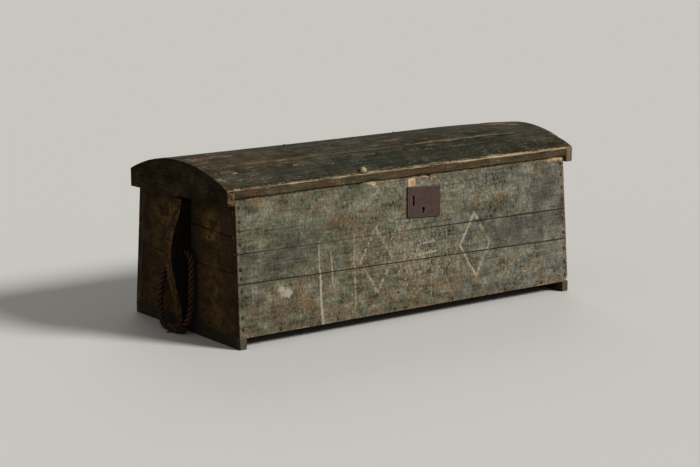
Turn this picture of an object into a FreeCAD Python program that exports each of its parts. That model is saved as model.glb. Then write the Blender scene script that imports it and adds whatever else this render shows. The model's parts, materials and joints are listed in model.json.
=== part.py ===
import FreeCAD, Part

import math
import os

# Sea chest with canted sides, an arched lid, rope beckets and a hasp lock. Millimetres.
# Origin: on the floor under the middle of the box. +X along the length, -Y to the front, +Z up.

V = FreeCAD.Vector
Rotation = FreeCAD.Rotation
Placement = FreeCAD.Placement

# ---------------------------------------------------------------- driving sizes: the box
BOX_LENGTH = 1060.0            # over the ends, at seat height
BOX_DEPTH = 446.0              # over front and back, at seat height
SEAT_HEIGHT = 372.0            # where the front lower edge of the lid lies
RUNNER_HEIGHT = 28.5           # underside of the box above the floor
SIDE_SPLAY = 24.0              # how far front and back each lean out by the foot
END_SPLAY = 5.3                # how far each end leans out by the foot
BOARD = 20.5                   # thickness of the wall boards
BOTTOM_THICK = 18.0
RUNNER_LAP = 0.3               # runner past its end board, under the bottom planks
JOINT_GAP = 0.6                # shrinkage gap between boards side by side

# Joints between the boards of a wall, as shares of the wall's height at its two ends.
FRONT_JOINTS = ((0.387, 0.341), (0.603, 0.580))   # at the left, at the right
BACK_JOINTS = ((0.354, 0.371), (0.610, 0.590))
END_JOINTS = ((0.457, 0.457), (0.718, 0.755))     # at the front, at the back
BOTTOM_JOINTS = (-84.0, 76.0)                     # y of the joints between bottom planks

# ---------------------------------------------------------------- driving sizes: the lid
LID_THICK = 20.0
LID_OVERHANG = 7.0             # past the front, at seat height
LID_BACK_OVERHANG = 3.0
LID_RISE = 47.7                # underside crown above the underside of the front edge
LID_CROWN_SHIFT = -7.6         # crown in front of the middle of the lid, so the lid leans back
PLANK_JOINTS = (0.26, 0.482, 0.735)   # joint places, as shares of the lid's depth from the front
LID_SEAT_GAP = 0.3
END_TOP_GAP = 1.0              # ends below the front's and back's top edges
CLEAT_THICK = 22.4
CLEAT_GAP = 4.2                # between a cleat and the box end
CLEAT_DROP_FRONT = 17.0        # cleat's lower edge below seat height, at the front
CLEAT_DROP_BACK = 32.0
RIB_THICK = 24.0
RIB_PLACE = 180.0              # each rib from the middle
RIB_DROP = 40.0                # rib's flat edge below the underside crown
RIB_WALL_CLEARANCE = 7.0       # rib's ends to the box wall
RIB_BLUNT = 8.0                # rib's ends cut back from the arc

# ---------------------------------------------------------------- driving sizes: handles
BLOCK_WIDTH = 32.0
BLOCK_MIDDLE_Y = -8.0
BLOCK_FOOT = 30.0              # lower end above the floor
BLOCK_TOP_GAP = 4.0            # below the lid's cleat
BLOCK_THICK_FOOT = 27.0
BLOCK_THICK_BOW = 59.0         # at the bow's highest point
BLOCK_THICK_TOP = 29.5
BOW_PLACE = 0.54               # height of the bow's highest point as a share of the block
# The rest of the bow's curve: share of the block's height, share of the bow's swell there.
BOW_BELOW = ((0.1, 0.09), (0.28, 0.5))
BOW_ABOVE = ((0.74, 0.72), (0.91, 0.1))
ROPE_DIAMETER = 16.0
ROPE_HOLE_CLEARANCE = 1.5      # all round the rope in its hole
ROPE_REST_GAP = 0.4            # rope above the bottom of its hole
ROPE_AXIS_HEIGHT = 208.0
ROPE_AXIS_OFF_END = 12.5       # rope's axis outside the end face, at its own height
ROPE_JOIN_GAP = 1.0            # between the rope's two ends inside the hole
ROUTE_ARC_SHARE = 0.45         # of the shorter run at a point, taken up by the arc there

# ---------------------------------------------------------------- driving sizes: hinges
HINGE_PLACE = 330.0            # each hinge from the middle
HINGE_WIDTH = 38.0
HINGE_PLATE = 3.0
BARREL_RADIUS = 5.5
BARREL_GAP = 0.35              # between the knuckles and the back's face
PIN_RADIUS = 3.0
PIN_CLEARANCE = 0.05
KNUCKLE_GAP = 0.4
HINGE_ROOT = 30.0              # length of a strap or leaf before it tapers
PIN_HEAD_RADIUS = 4.2
PIN_HEAD_THICK = 2.0
PIN_END_PLAY = 2.0             # between an outer knuckle and the pin's head
STRAP_REACH = 165.0            # strap under the lid, along the lid's depth
STRAP_TIP_WIDTH = 24.0
LEAF_DROP = 128.0              # leaf down the back
LEAF_TIP_WIDTH = 24.0
HINGE_NOTCH_CLEARANCE = 0.6
HINGE_LID_GAP = 0.05

# ---------------------------------------------------------------- driving sizes: lock
LOCK_X = 45.0                  # middle of the plate
LOCK_DROP = 70.6               # middle of the plate below seat height
LOCK_TILT = -2.83              # degrees, right side lower
PLATE_WIDTH = 107.3
PLATE_HEIGHT = 80.2
PLATE_THICK = 4.0
SLOT_PLACE = (-34.4, 3.3)      # staple slot from the plate's middle
SLOT_SIZE = (6.0, 27.0)
KEYHOLE_PLACE = (-2.6, -18.6)  # middle of the keyhole's round part
KEYHOLE_RADIUS = 4.5
KEYHOLE_SLOT_WIDTH = 5.0
KEYHOLE_DROP = 11.5            # below the middle of the round part
CASE_WIDTH = 88.0
CASE_HEIGHT = 62.0
CASE_DEPTH = 13.2
CASE_WALL = 1.6
CASE_FIT = 0.2                 # round the case in its mortise
BOLT_LENGTH = 56.0
BOLT_HEIGHT = 12.0
BOLT_THICK = 5.0
BOLT_SLOT_CLEARANCE = 3.4      # bolt's tip beside the staple slot, at rest
BOLT_TRAVEL = 12.0
BOLT_GAP = 0.1                 # running clearance round the bolt
TALON_SIZE = (8.0, 4.0)        # notch that the key's bit moves
SPRING_THICK = 1.0
SPRING_SPAN = 56.0
SPRING_PLACE = 4.0             # where the spring bears on the bolt, along the lock
SPRING_BOLT_GAP = 0.3
BRIDGE_PLACES = (-18.0, 20.0)  # left edge of each bridge over the bolt
BRIDGE_WIDTH = 7.0
BRIDGE_LEG = 3.0
BRIDGE_TOP = 2.0

# ---------------------------------------------------------------- driving sizes: nails
NAIL_SHANK = 1.7
NAIL_HEAD = 3.6
NAIL_HEAD_THICK = 1.2
NAIL_HEAD_FACE = 2.52          # radius of the head's flat top
NAIL_LENGTH = 50.0
SHORT_NAIL = 15.0
NAIL_CLEARANCE = 0.05
NAIL_HOLE_PAST = 1.0           # hole past the nail's tip and above the surface
# Heights of the nails near the front's left and right edges, as shares of the wall's height.
LEFT_EDGE_NAILS = (0.071, 0.150, 0.237, 0.339, 0.432, 0.499, 0.674, 0.770, 0.837, 0.936)
RIGHT_EDGE_NAILS = (0.057, 0.162, 0.269, 0.397, 0.511, 0.651, 0.753, 0.854, 0.942)
BOTTOM_NAILS = (-0.783, -0.453, -0.113, 0.245, 0.585, 0.830)   # shares of half the length
RUNNER_NAIL_INSETS = (77.0, 97.0)                              # from a runner's front and back
RUNNER_NAIL_MIDDLE = -10.0                                     # y of the nail between them
PLANK_NAILS = (0.3, 0.75)      # shares of a lid plank's width
RIB_NAIL_REACH = 0.72          # share of the arch where the ribs are deep enough for nails
RIB_NAIL_LENGTH = 35.0
BLOCK_NAIL_LENGTH = 40.0
BLOCK_NAIL_INSET = 16.0        # from a block's ends
BLOCK_NAIL_SPACING = 14.0
BLOCK_NAIL_STAND = 1.2         # head above the block's thinnest part
LEAF_NAILS = ((20.0, -9.0), (24.0, 9.0), (70.0, 0.0), (116.0, 0.0))      # below the axis, across
STRAP_NAILS = ((38.0, -8.0), (46.0, 8.0), (100.0, 0.0), (165.0, 0.0))    # before the back, across
PLATE_NAIL_INSET = 5.0

# ---------------------------------------------------------------- worked-out sizes
HALF_LENGTH = BOX_LENGTH / 2
HALF_DEPTH = BOX_DEPTH / 2
WALL_HEIGHT = SEAT_HEIGHT - RUNNER_HEIGHT
SIDE_SLOPE = SIDE_SPLAY / WALL_HEIGHT
END_SLOPE = END_SPLAY / WALL_HEIGHT
SIDE_LEAN = math.degrees(math.atan(SIDE_SLOPE))

LID_FRONT = -HALF_DEPTH - LID_OVERHANG
LID_BACK = HALF_DEPTH + LID_BACK_OVERHANG
LID_DEPTH = LID_BACK - LID_FRONT
ARCH_Y = (LID_FRONT + LID_BACK) / 2 + LID_CROWN_SHIFT
ARCH_REACH = ARCH_Y - LID_FRONT
INNER_RADIUS = (ARCH_REACH ** 2 + LID_RISE ** 2) / (2 * LID_RISE)
OUTER_RADIUS = INNER_RADIUS + LID_THICK
ARCH_Z = SEAT_HEIGHT + LID_RISE - INNER_RADIUS

RUNNER_THICK = BOARD + RUNNER_LAP
PLANK_END = HALF_LENGTH + CLEAT_GAP
ROPE_RADIUS = ROPE_DIAMETER / 2
SOLVE_STEPS = 20               # rounds of substitution for a height that depends on itself


def side_y(z):
    """Distance of the front or back outer face from the middle, at height z."""
    return HALF_DEPTH + (SEAT_HEIGHT - z) * SIDE_SLOPE


def end_x(z):
    """Distance of an end's outer face from the middle, at height z."""
    return HALF_LENGTH + (SEAT_HEIGHT - z) * END_SLOPE


def arch_z(y, radius):
    """Height of the arc of this radius about the arch's axis, at depth y."""
    return ARCH_Z + math.sqrt(radius ** 2 - (y - ARCH_Y) ** 2)


# ---------------------------------------------------------------- shape helpers
def polyhedron(low, high):
    """Solid between two quadrilaterals that list matching corners in the same order."""
    faces = [low, high]
    for i in range(4):
        j = (i + 1) % 4
        faces.append([low[i], low[j], high[j], high[i]])
    shells = [Part.Face(Part.makePolygon(face + [face[0]])) for face in faces]
    solid = Part.Solid(Part.makeShell(shells))
    if solid.Volume < 0:
        solid.reverse()
    return solid


def flat_outline(points, plane_point):
    """Face of straight edges through 2-D points, each turned into space by plane_point."""
    corners = [plane_point(*point) for point in points]
    return Part.Face(Part.makePolygon(corners + [corners[0]]))


def local_box(u, v, w):
    """Box from three (low, high) pairs in a face's own axes."""
    size = [high - low for low, high in (u, v, w)]
    return Part.makeBox(*size, V(u[0], v[0], w[0]))


def front_frame(x, z):
    """Placement with local X along the chest, Y up the front and Z out of it."""
    return Placement(V(x, -side_y(z), z), Rotation(V(1, 0, 0), 90 - SIDE_LEAN))


def back_frame(x, z):
    """The same on the back, seen from behind."""
    turn = Rotation(V(0, 0, 1), 180).multiply(Rotation(V(1, 0, 0), 90 - SIDE_LEAN))
    return Placement(V(x, side_y(z), z), turn)


def end_frame(side, y, z, off_end=0.0):
    """Placement with local Z straight out of the left (-1) or right (+1) end."""
    return Placement(V(side * (end_x(z) + off_end), y, z), Rotation(V(0, 1, 0), 90 * side))


def arch_frame(x, y, radius):
    """Placement with local Z along the arch's outward normal at depth y."""
    angle = math.degrees(math.asin((y - ARCH_Y) / radius))
    return Placement(V(x, y, arch_z(y, radius)), Rotation(V(1, 0, 0), -angle))


def placed(shape, placement):
    copy = shape.copy()
    copy.Placement = placement.multiply(copy.Placement)
    return copy


# ---------------------------------------------------------------- nails and their holes
def nail(length):
    """Nail with a low conical head, its shank going down from the surface."""
    shank = Part.makeCylinder(NAIL_SHANK, length, V(0, 0, -length))
    head = Part.makeCone(NAIL_HEAD, NAIL_HEAD_FACE, NAIL_HEAD_THICK)
    return shank.fuse(head).removeSplitter()


def nail_hole(length):
    """Hole for a nail's shank, with a recess where its head is sunk below the surface."""
    depth = length + NAIL_HOLE_PAST
    shank = Part.makeCylinder(NAIL_SHANK + NAIL_CLEARANCE, depth + NAIL_HOLE_PAST, V(0, 0, -depth))
    recess = Part.makeCylinder(NAIL_HEAD + NAIL_CLEARANCE, 2 * NAIL_HEAD_THICK, V(0, 0, 0))
    return shank.fuse(recess)


class NailGroup:
    """Nails of one node, kept with the holes that they need."""

    def __init__(self):
        self.solids = []
        self.holes = []

    def add(self, placement, length):
        self.solids.append(placed(nail(length), placement))
        self.holes.append(placed(nail_hole(length), placement))

    def shape(self):
        return Part.makeCompound(self.solids)


def drilled(shape, *groups):
    """Shape with the holes of every nail that reaches it."""
    box = shape.BoundBox
    near = [hole for group in groups for hole in group.holes if box.intersect(hole.BoundBox)]
    return shape.cut(near) if near else shape


# ---------------------------------------------------------------- walls
def side_board(side, low, high, top_edge=None):
    """Front (-1) or back (+1) board. low and high give its edges at the left and right end."""
    corners = []
    for x_side, z_low, z_high in ((-1, low[0], high[0]), (1, low[1], high[1])):
        outer_top, inner_top = top_edge or (z_high, z_high)
        quad = []
        for z, inset in ((z_low, 0), (z_low, BOARD), (inner_top, BOARD), (outer_top, 0)):
            quad.append(V(x_side * end_x(z), side * (side_y(z) - inset), z))
        corners.append(quad)
    return polyhedron(*corners)


def end_board(side, low, high):
    """End board between front and back. low and high give its edges at the front and back."""
    corners = []
    for y_side, z_low, z_high in ((-1, low[0], high[0]), (1, low[1], high[1])):
        quad = []
        for z, inset in ((z_low, 0), (z_low, BOARD), (z_high, BOARD), (z_high, 0)):
            quad.append(V(side * (end_x(z) - inset), y_side * (side_y(z) - BOARD), z))
        corners.append(quad)
    return polyhedron(*corners)


def seat_edge(side):
    """Heights of a side board's top edge, outside and inside, under the sloping lid."""
    heights = []
    for inset in (0.0, BOARD):
        z = SEAT_HEIGHT
        for _ in range(SOLVE_STEPS):
            z = arch_z(side * (side_y(z) - inset), INNER_RADIUS) - LID_SEAT_GAP
        heights.append(z)
    return heights


def stacked(joints, bottom, top):
    """Edge pairs of boards stacked with a small gap at each joint."""
    heights = [[RUNNER_HEIGHT + share * WALL_HEIGHT for share in joint] for joint in joints]
    edges = [bottom] + heights + [top]
    pairs = []
    for i in range(len(edges) - 1):
        low = [z + (JOINT_GAP / 2 if i else 0) for z in edges[i]]
        high = [z - (JOINT_GAP / 2 if i < len(joints) else 0) for z in edges[i + 1]]
        pairs.append((low, high))
    return pairs


def side_boards(side, joints):
    foot = (RUNNER_HEIGHT, RUNNER_HEIGHT)
    edge = seat_edge(side)
    boards = []
    for low, high in stacked(joints, foot, (edge[0], edge[0])):
        is_top = high[0] == edge[0]
        boards.append(side_board(side, low, high, edge if is_top else None))
    return boards


def end_boards(side):
    foot = (RUNNER_HEIGHT, RUNNER_HEIGHT)
    top = [seat_edge(y_side)[0] - END_TOP_GAP for y_side in (-1, 1)]
    return [end_board(side, low, high) for low, high in stacked(END_JOINTS, foot, top)]


def bottom_planks():
    """Planks inside the walls, lengthwise, with canted outer edges."""
    low = RUNNER_HEIGHT
    high = RUNNER_HEIGHT + BOTTOM_THICK
    planks = []
    inner = [-1] + list(BOTTOM_JOINTS) + [1]
    for i in range(len(inner) - 1):
        corners = []
        for z in (low, high):
            limit = side_y(z) - BOARD
            y_front = -limit if i == 0 else inner[i] + JOINT_GAP / 2
            y_back = limit if i == len(inner) - 2 else inner[i + 1] - JOINT_GAP / 2
            reach = end_x(z) - BOARD
            corners.append([V(-reach, y_front, z), V(reach, y_front, z),
                            V(reach, y_back, z), V(-reach, y_back, z)])
        planks.append(polyhedron(*corners))
    return planks


def runner(side):
    reach = end_x(RUNNER_HEIGHT)
    depth = side_y(RUNNER_HEIGHT)
    start = V(-reach if side < 0 else reach - RUNNER_THICK, -depth, 0)
    return Part.makeBox(RUNNER_THICK, 2 * depth, RUNNER_HEIGHT, start)


# ---------------------------------------------------------------- lid
def arch_band(y_front, y_back, inner, outer, x_low, x_high):
    """Curved slab between two arcs about the arch's axis, with upright edges."""
    def on(y, radius):
        return V(x_low, y, arch_z(y, radius))

    middle = (y_front + y_back) / 2
    edges = [Part.Arc(on(y_front, outer), on(middle, outer), on(y_back, outer)).toShape(),
             Part.LineSegment(on(y_back, outer), on(y_back, inner)).toShape(),
             Part.Arc(on(y_back, inner), on(middle, inner), on(y_front, inner)).toShape(),
             Part.LineSegment(on(y_front, inner), on(y_front, outer)).toShape()]
    return Part.Face(Part.Wire(edges)).extrude(V(x_high - x_low, 0, 0))


def arch_segment(y_front, y_back, radius, z_front, z_back, x_low, x_high):
    """Board with an arched upper edge and a straight lower one."""
    def on(y):
        return V(x_low, y, arch_z(y, radius))

    middle = (y_front + y_back) / 2
    low_front = V(x_low, y_front, z_front)
    low_back = V(x_low, y_back, z_back)
    edges = [Part.Arc(on(y_front), on(middle), on(y_back)).toShape(),
             Part.LineSegment(on(y_back), low_back).toShape(),
             Part.LineSegment(low_back, low_front).toShape(),
             Part.LineSegment(low_front, on(y_front)).toShape()]
    return Part.Face(Part.Wire(edges)).extrude(V(x_high - x_low, 0, 0))


def plank_edges():
    joints = [LID_FRONT + share * LID_DEPTH for share in PLANK_JOINTS]
    return [LID_FRONT] + joints + [LID_BACK]


def lid_planks():
    edges = plank_edges()
    planks = []
    for i in range(len(edges) - 1):
        front = edges[i] + (JOINT_GAP / 2 if i else 0)
        back = edges[i + 1] - (JOINT_GAP / 2 if i < len(edges) - 2 else 0)
        planks.append(arch_band(front, back, INNER_RADIUS, OUTER_RADIUS, -PLANK_END, PLANK_END))
    return planks


def cleat(side):
    low, high = sorted((side * PLANK_END, side * (PLANK_END + CLEAT_THICK)))
    return arch_segment(LID_FRONT, LID_BACK, OUTER_RADIUS, SEAT_HEIGHT - CLEAT_DROP_FRONT,
                        SEAT_HEIGHT - CLEAT_DROP_BACK, low, high)


def cleat_low_z(y):
    share = (y - LID_FRONT) / LID_DEPTH
    drop = CLEAT_DROP_FRONT + share * (CLEAT_DROP_BACK - CLEAT_DROP_FRONT)
    return SEAT_HEIGHT - drop


def rib(side):
    """Arched rib under the planks, flat below, inside the box walls."""
    low_z = ARCH_Z + INNER_RADIUS - RIB_DROP
    wall = HALF_DEPTH - BOARD - RIB_WALL_CLEARANCE
    arc_half = math.sqrt(INNER_RADIUS ** 2 - (low_z - ARCH_Z) ** 2) - RIB_BLUNT
    y_front = max(-wall, ARCH_Y - arc_half)
    y_back = min(wall, ARCH_Y + arc_half)
    x_low = side * RIB_PLACE - RIB_THICK / 2
    return arch_segment(y_front, y_back, INNER_RADIUS, low_z, low_z, x_low, x_low + RIB_THICK)


# ---------------------------------------------------------------- handles
def block_top():
    return cleat_low_z(BLOCK_MIDDLE_Y) - BLOCK_TOP_GAP


def block_outline(side):
    """Side view of the bowed batten: straight inner face, curved outer face."""
    top = block_top()
    height = top - BLOCK_FOOT
    outer = [(0.0, BLOCK_THICK_FOOT)]
    for share, swell in BOW_BELOW:
        outer.append((share, BLOCK_THICK_FOOT + swell * (BLOCK_THICK_BOW - BLOCK_THICK_FOOT)))
    outer.append((BOW_PLACE, BLOCK_THICK_BOW))
    for share, swell in BOW_ABOVE:
        outer.append((share, BLOCK_THICK_TOP + swell * (BLOCK_THICK_BOW - BLOCK_THICK_TOP)))
    outer.append((1.0, BLOCK_THICK_TOP))
    y_front = BLOCK_MIDDLE_Y - BLOCK_WIDTH / 2
    points = []
    for share, thick in outer:
        z = BLOCK_FOOT + share * height
        points.append(V(side * (end_x(z) + thick), y_front, z))
    inner_foot = V(side * end_x(BLOCK_FOOT), y_front, BLOCK_FOOT)
    inner_top = V(side * end_x(top), y_front, top)
    curve = Part.BSplineCurve()
    curve.interpolate(points)
    edges = [curve.toShape(), Part.LineSegment(points[-1], inner_top).toShape(),
             Part.LineSegment(inner_top, inner_foot).toShape(),
             Part.LineSegment(inner_foot, points[0]).toShape()]
    return Part.Face(Part.Wire(edges))


def rope_axis_x(side):
    return side * (end_x(ROPE_AXIS_HEIGHT) + ROPE_AXIS_OFF_END)


def handle_block(side):
    body = block_outline(side).extrude(V(0, BLOCK_WIDTH, 0))
    lift = ROPE_HOLE_CLEARANCE - ROPE_REST_GAP
    mouth = V(rope_axis_x(side), BLOCK_MIDDLE_Y - BLOCK_WIDTH, ROPE_AXIS_HEIGHT + lift)
    radius = ROPE_RADIUS + ROPE_HOLE_CLEARANCE
    hole = Part.makeCylinder(radius, 2 * BLOCK_WIDTH, mouth, V(0, 1, 0))
    return body.cut(hole)


# Points of the becket's route, from its front end in the hole round to its back end.
# Each is (out from the rope's axis, along y, above the floor).
BECKET_ROUTE = (
    (0.0, -8.0, 208.0), (0.0, -33.0, 208.0), (0.6, -47.0, 194.0), (2.0, -48.5, 160.0),
    (3.0, -47.3, 118.0), (4.5, -48.5, 80.0), (7.0, -47.0, 49.0), (13.0, -33.3, 23.2),
    (21.0, -8.0, 8.6), (26.0, 24.0, 8.4), (22.5, 56.2, 8.6), (14.0, 81.8, 23.2),
    (8.0, 96.5, 48.8), (5.5, 94.6, 86.3), (3.5, 87.4, 121.6), (2.0, 75.2, 153.3),
    (0.8, 59.3, 178.7), (0.2, 38.8, 197.8), (0.0, 16.0, 208.0), (0.0, -7.0, 208.0))


def becket_points(side):
    base = rope_axis_x(side)
    points = [V(base + side * out, y, z) for out, y, z in BECKET_ROUTE]
    points[-1].y = points[0].y + ROPE_JOIN_GAP
    return points


def rounded_route(points):
    """Straight runs joined by tangent arcs: the edges, their length and the arc radii."""
    radii = []
    edges = []
    start = points[0]
    for i in range(1, len(points) - 1):
        before = points[i] - points[i - 1]
        after = points[i + 1] - points[i]
        turn = before.getAngle(after)
        cut = ROUTE_ARC_SHARE * min(before.Length, after.Length)
        radius = cut / math.tan(turn / 2)
        entry = points[i] - before.normalize() * cut
        leave = points[i] + after.normalize() * cut
        inward = (after - before).normalize()
        middle = points[i] + inward * (radius / math.cos(turn / 2) - radius)
        edges.append(Part.LineSegment(start, entry).toShape())
        edges.append(Part.Arc(entry, middle, leave).toShape())
        radii.append(radius)
        start = leave
    edges.append(Part.LineSegment(start, points[-1]).toShape())
    return edges, sum(edge.Length for edge in edges), radii


def becket(side):
    points = becket_points(side)
    edges, length, radii = rounded_route(points)
    section = Part.Wire(Part.makeCircle(ROPE_RADIUS, points[0], points[1] - points[0]))
    tube = Part.Wire(edges).makePipeShell([section], True, True)
    ideal = math.pi * ROPE_RADIUS ** 2 * length
    print("becket %+d: length %.1f, volume / ideal %.4f" % (side, length, tube.Volume / ideal))
    print("  radii", " ".join("%.0f" % radius for radius in radii))
    return tube


# ---------------------------------------------------------------- hinges
def hinge_axis():
    """Depth and height of the hinge line, behind the back and under the lid's edge."""
    tilt = math.asin((LID_BACK - ARCH_Y) / INNER_RADIUS)
    off_face = (BARREL_RADIUS + BARREL_GAP) / math.cos(math.radians(SIDE_LEAN))
    z = SEAT_HEIGHT
    for _ in range(SOLVE_STEPS):
        y = side_y(z) + off_face
        tangent_z = arch_z(LID_BACK, INNER_RADIUS) - (y - LID_BACK) * math.tan(tilt)
        z = tangent_z - (BARREL_RADIUS + HINGE_LID_GAP) / math.cos(tilt)
    return y, z


def barrel(x_low, x_high, radius):
    y, z = hinge_axis()
    return Part.makeCylinder(radius, x_high - x_low, V(x_low, y, z), V(1, 0, 0))


def knuckle_spans(x):
    """Ends of the left, middle and right knuckles along X."""
    half = HINGE_WIDTH / 2
    inner = HINGE_WIDTH / 6
    gap = KNUCKLE_GAP / 2
    return ((x - half, x - inner - gap), (x - inner + gap, x + inner - gap),
            (x + inner + gap, x + half))


def around_barrel(x_low, x_high):
    """Box that clears a stretch of the hinge line of everything but its own knuckle."""
    y, z = hinge_axis()
    reach = 2 * BARREL_RADIUS
    corner = V(x_low, y - reach, z - reach)
    return Part.makeBox(x_high - x_low, 2 * reach, 2 * reach, corner)


def strap_top():
    return INNER_RADIUS - HINGE_LID_GAP


def strap_plan(x):
    """Tall prism whose plan is the strap: round tip, straight taper, parallel root."""
    y_tip = LID_BACK - STRAP_REACH
    y_root = LID_BACK - HINGE_ROOT
    y_end = hinge_axis()[0]
    tip_half = STRAP_TIP_WIDTH / 2
    half = HINGE_WIDTH / 2
    height = V(0, 0, SEAT_HEIGHT + OUTER_RADIUS)
    plan = [(x - tip_half, y_tip), (x + tip_half, y_tip), (x + half, y_root), (x + half, y_end),
            (x - half, y_end), (x - half, y_root)]
    tip = Part.makeCylinder(tip_half, height.z, V(x, y_tip, 0))
    return flat_outline(plan, lambda a, b: V(a, b, 0)).extrude(height).fuse(tip)


def hinge_strap(x):
    """Strap under the lid, tapering to a round tip, with the middle knuckle."""
    outer = strap_top()
    y_end = hinge_axis()[0]
    half = HINGE_WIDTH / 2
    shape = arch_band(-HALF_DEPTH, y_end, outer - HINGE_PLATE, outer, x - half, x + half)
    shape = shape.common(strap_plan(x))
    left, middle, right = knuckle_spans(x)
    shape = shape.cut([around_barrel(left[0], middle[0]), around_barrel(middle[1], right[1])])
    shape = shape.fuse(barrel(*middle, BARREL_RADIUS))
    shape = shape.cut(barrel(left[0], right[1], PIN_RADIUS + PIN_CLEARANCE))
    return shape.removeSplitter()


def hinge_leaf(x):
    """Leaf down the back with a round foot, and the two outer knuckles."""
    half = HINGE_WIDTH / 2
    tip_half = LEAF_TIP_WIDTH / 2
    tip_v = tip_half - LEAF_DROP
    plan = [(-half, 0), (-half, -HINGE_ROOT), (-tip_half, tip_v), (tip_half, tip_v),
            (half, -HINGE_ROOT), (half, 0)]
    plate = flat_outline(plan, lambda u, v: V(u, v, 0)).extrude(V(0, 0, HINGE_PLATE))
    plate = plate.fuse(Part.makeCylinder(tip_half, HINGE_PLATE, V(0, tip_v, 0)))
    shape = placed(plate, back_frame(x, hinge_axis()[1]))
    left, middle, right = knuckle_spans(x)
    shape = shape.cut(around_barrel(left[1], right[0]))
    shape = shape.fuse([barrel(*left, BARREL_RADIUS), barrel(*right, BARREL_RADIUS)])
    shape = shape.cut(barrel(left[0], right[1], PIN_RADIUS + PIN_CLEARANCE))
    return shape.removeSplitter()


def hinge_pin(x):
    reach = HINGE_WIDTH / 2 + PIN_END_PLAY
    heads = [barrel(x - reach - PIN_HEAD_THICK, x - reach, PIN_HEAD_RADIUS),
             barrel(x + reach, x + reach + PIN_HEAD_THICK, PIN_HEAD_RADIUS)]
    return barrel(x - reach, x + reach, PIN_RADIUS).fuse(heads).removeSplitter()


def hinge_notch(x):
    """Room for the strap in the top edge of the back."""
    low = strap_top() - HINGE_PLATE - HINGE_NOTCH_CLEARANCE
    half = HINGE_WIDTH / 2 + HINGE_NOTCH_CLEARANCE
    front = HALF_DEPTH - 2 * BOARD
    return arch_band(front, hinge_axis()[0], low, OUTER_RADIUS, x - half, x + half)


# ---------------------------------------------------------------- lock
def lock_frame():
    tilt = Placement(V(0, 0, 0), Rotation(V(0, 0, 1), LOCK_TILT))
    return front_frame(LOCK_X, SEAT_HEIGHT - LOCK_DROP).multiply(tilt)


def around(middle, width):
    """Ends of a width about its middle."""
    return (middle - width / 2, middle + width / 2)


def staple_slot():
    """Room of the slot through the plate, where the hasp's staple goes."""
    u, v = SLOT_PLACE
    width, height = SLOT_SIZE
    return local_box(around(u, width), around(v, height), (0, PLATE_THICK))


def keyhole():
    """Room of the keyhole through the plate: round above, straight slot below."""
    u, v = KEYHOLE_PLACE
    round_part = Part.makeCylinder(KEYHOLE_RADIUS, PLATE_THICK, V(u, v, 0))
    slot = local_box(around(u, KEYHOLE_SLOT_WIDTH), (v - KEYHOLE_DROP, v), (0, PLATE_THICK))
    return round_part.fuse(slot)


def lock_plate():
    plate = local_box(around(0, PLATE_WIDTH), around(0, PLATE_HEIGHT), (0, PLATE_THICK))
    return plate.cut([staple_slot(), keyhole()])


def bolt_rest():
    """The bolt's extent at rest, in the lock's own axes."""
    tip = SLOT_PLACE[0] + SLOT_SIZE[0] / 2 + BOLT_SLOT_CLEARANCE
    back = -CASE_DEPTH + CASE_WALL + BOLT_GAP
    return ((tip, tip + BOLT_LENGTH), around(SLOT_PLACE[1], BOLT_HEIGHT),
            (back, back + BOLT_THICK))


def lock_bolt():
    u, v, w = bolt_rest()
    width, depth = TALON_SIZE
    talon = local_box(around(KEYHOLE_PLACE[0], width), (v[0], v[0] + depth), w)
    return local_box(u, v, w).cut(talon)


def bolt_bridge(u):
    """Bridge over the bolt, standing on the back of the case."""
    _, v, w = bolt_rest()
    floor = CASE_WALL - CASE_DEPTH
    span = (u, u + BRIDGE_WIDTH)
    outside = local_box(span, (v[0] - BRIDGE_LEG, v[1] + BRIDGE_LEG), (floor, w[1] + BRIDGE_TOP))
    inside = local_box(span, (v[0] - BOLT_GAP, v[1] + BOLT_GAP), (floor, w[1] + BOLT_GAP))
    return outside.cut(inside)


def lock_case():
    """Shallow iron tray behind the plate, with two bridges that guide the bolt."""
    tray = local_box(around(0, CASE_WIDTH), around(0, CASE_HEIGHT), (-CASE_DEPTH, 0))
    hollow = local_box(around(0, CASE_WIDTH - 2 * CASE_WALL),
                       around(0, CASE_HEIGHT - 2 * CASE_WALL), (CASE_WALL - CASE_DEPTH, 0))
    return tray.cut(hollow).fuse([bolt_bridge(u) for u in BRIDGE_PLACES]).removeSplitter()


def lock_spring():
    """Bowed leaf that bears on the bolt, its two ends against the case's upper wall."""
    _, v, w = bolt_rest()
    low = v[1] + SPRING_BOLT_GAP
    high = CASE_HEIGHT / 2 - CASE_WALL - SPRING_THICK
    left, right = around(SPRING_PLACE, SPRING_SPAN)
    lower = [V(left, high, w[0]), V(SPRING_PLACE, low, w[0]), V(right, high, w[0])]
    upper = [point + V(0, SPRING_THICK, 0) for point in lower]
    edges = [Part.Arc(*lower).toShape(), Part.LineSegment(lower[2], upper[2]).toShape(),
             Part.Arc(*reversed(upper)).toShape(), Part.LineSegment(upper[0], lower[0]).toShape()]
    return Part.Face(Part.Wire(edges)).extrude(V(0, 0, BOLT_THICK))


def lock_mortise():
    """Pocket in the front for the case, open to the outside."""
    return local_box(around(0, CASE_WIDTH + 2 * CASE_FIT), around(0, CASE_HEIGHT + 2 * CASE_FIT),
                     (-CASE_DEPTH - CASE_FIT, PLATE_THICK))


# ---------------------------------------------------------------- where the nails go
def wall_nails(frame, left_shares, right_shares):
    """Nails through a side into the two ends and into the bottom."""
    group = NailGroup()
    for side, shares in ((-1, left_shares), (1, right_shares)):
        for share in shares:
            z = RUNNER_HEIGHT + share * WALL_HEIGHT
            group.add(frame(side * (end_x(z) - BOARD / 2), z), NAIL_LENGTH)
    for share in BOTTOM_NAILS:
        group.add(frame(share * HALF_LENGTH, RUNNER_HEIGHT + BOTTOM_THICK / 2), NAIL_LENGTH)
    return group


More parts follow.
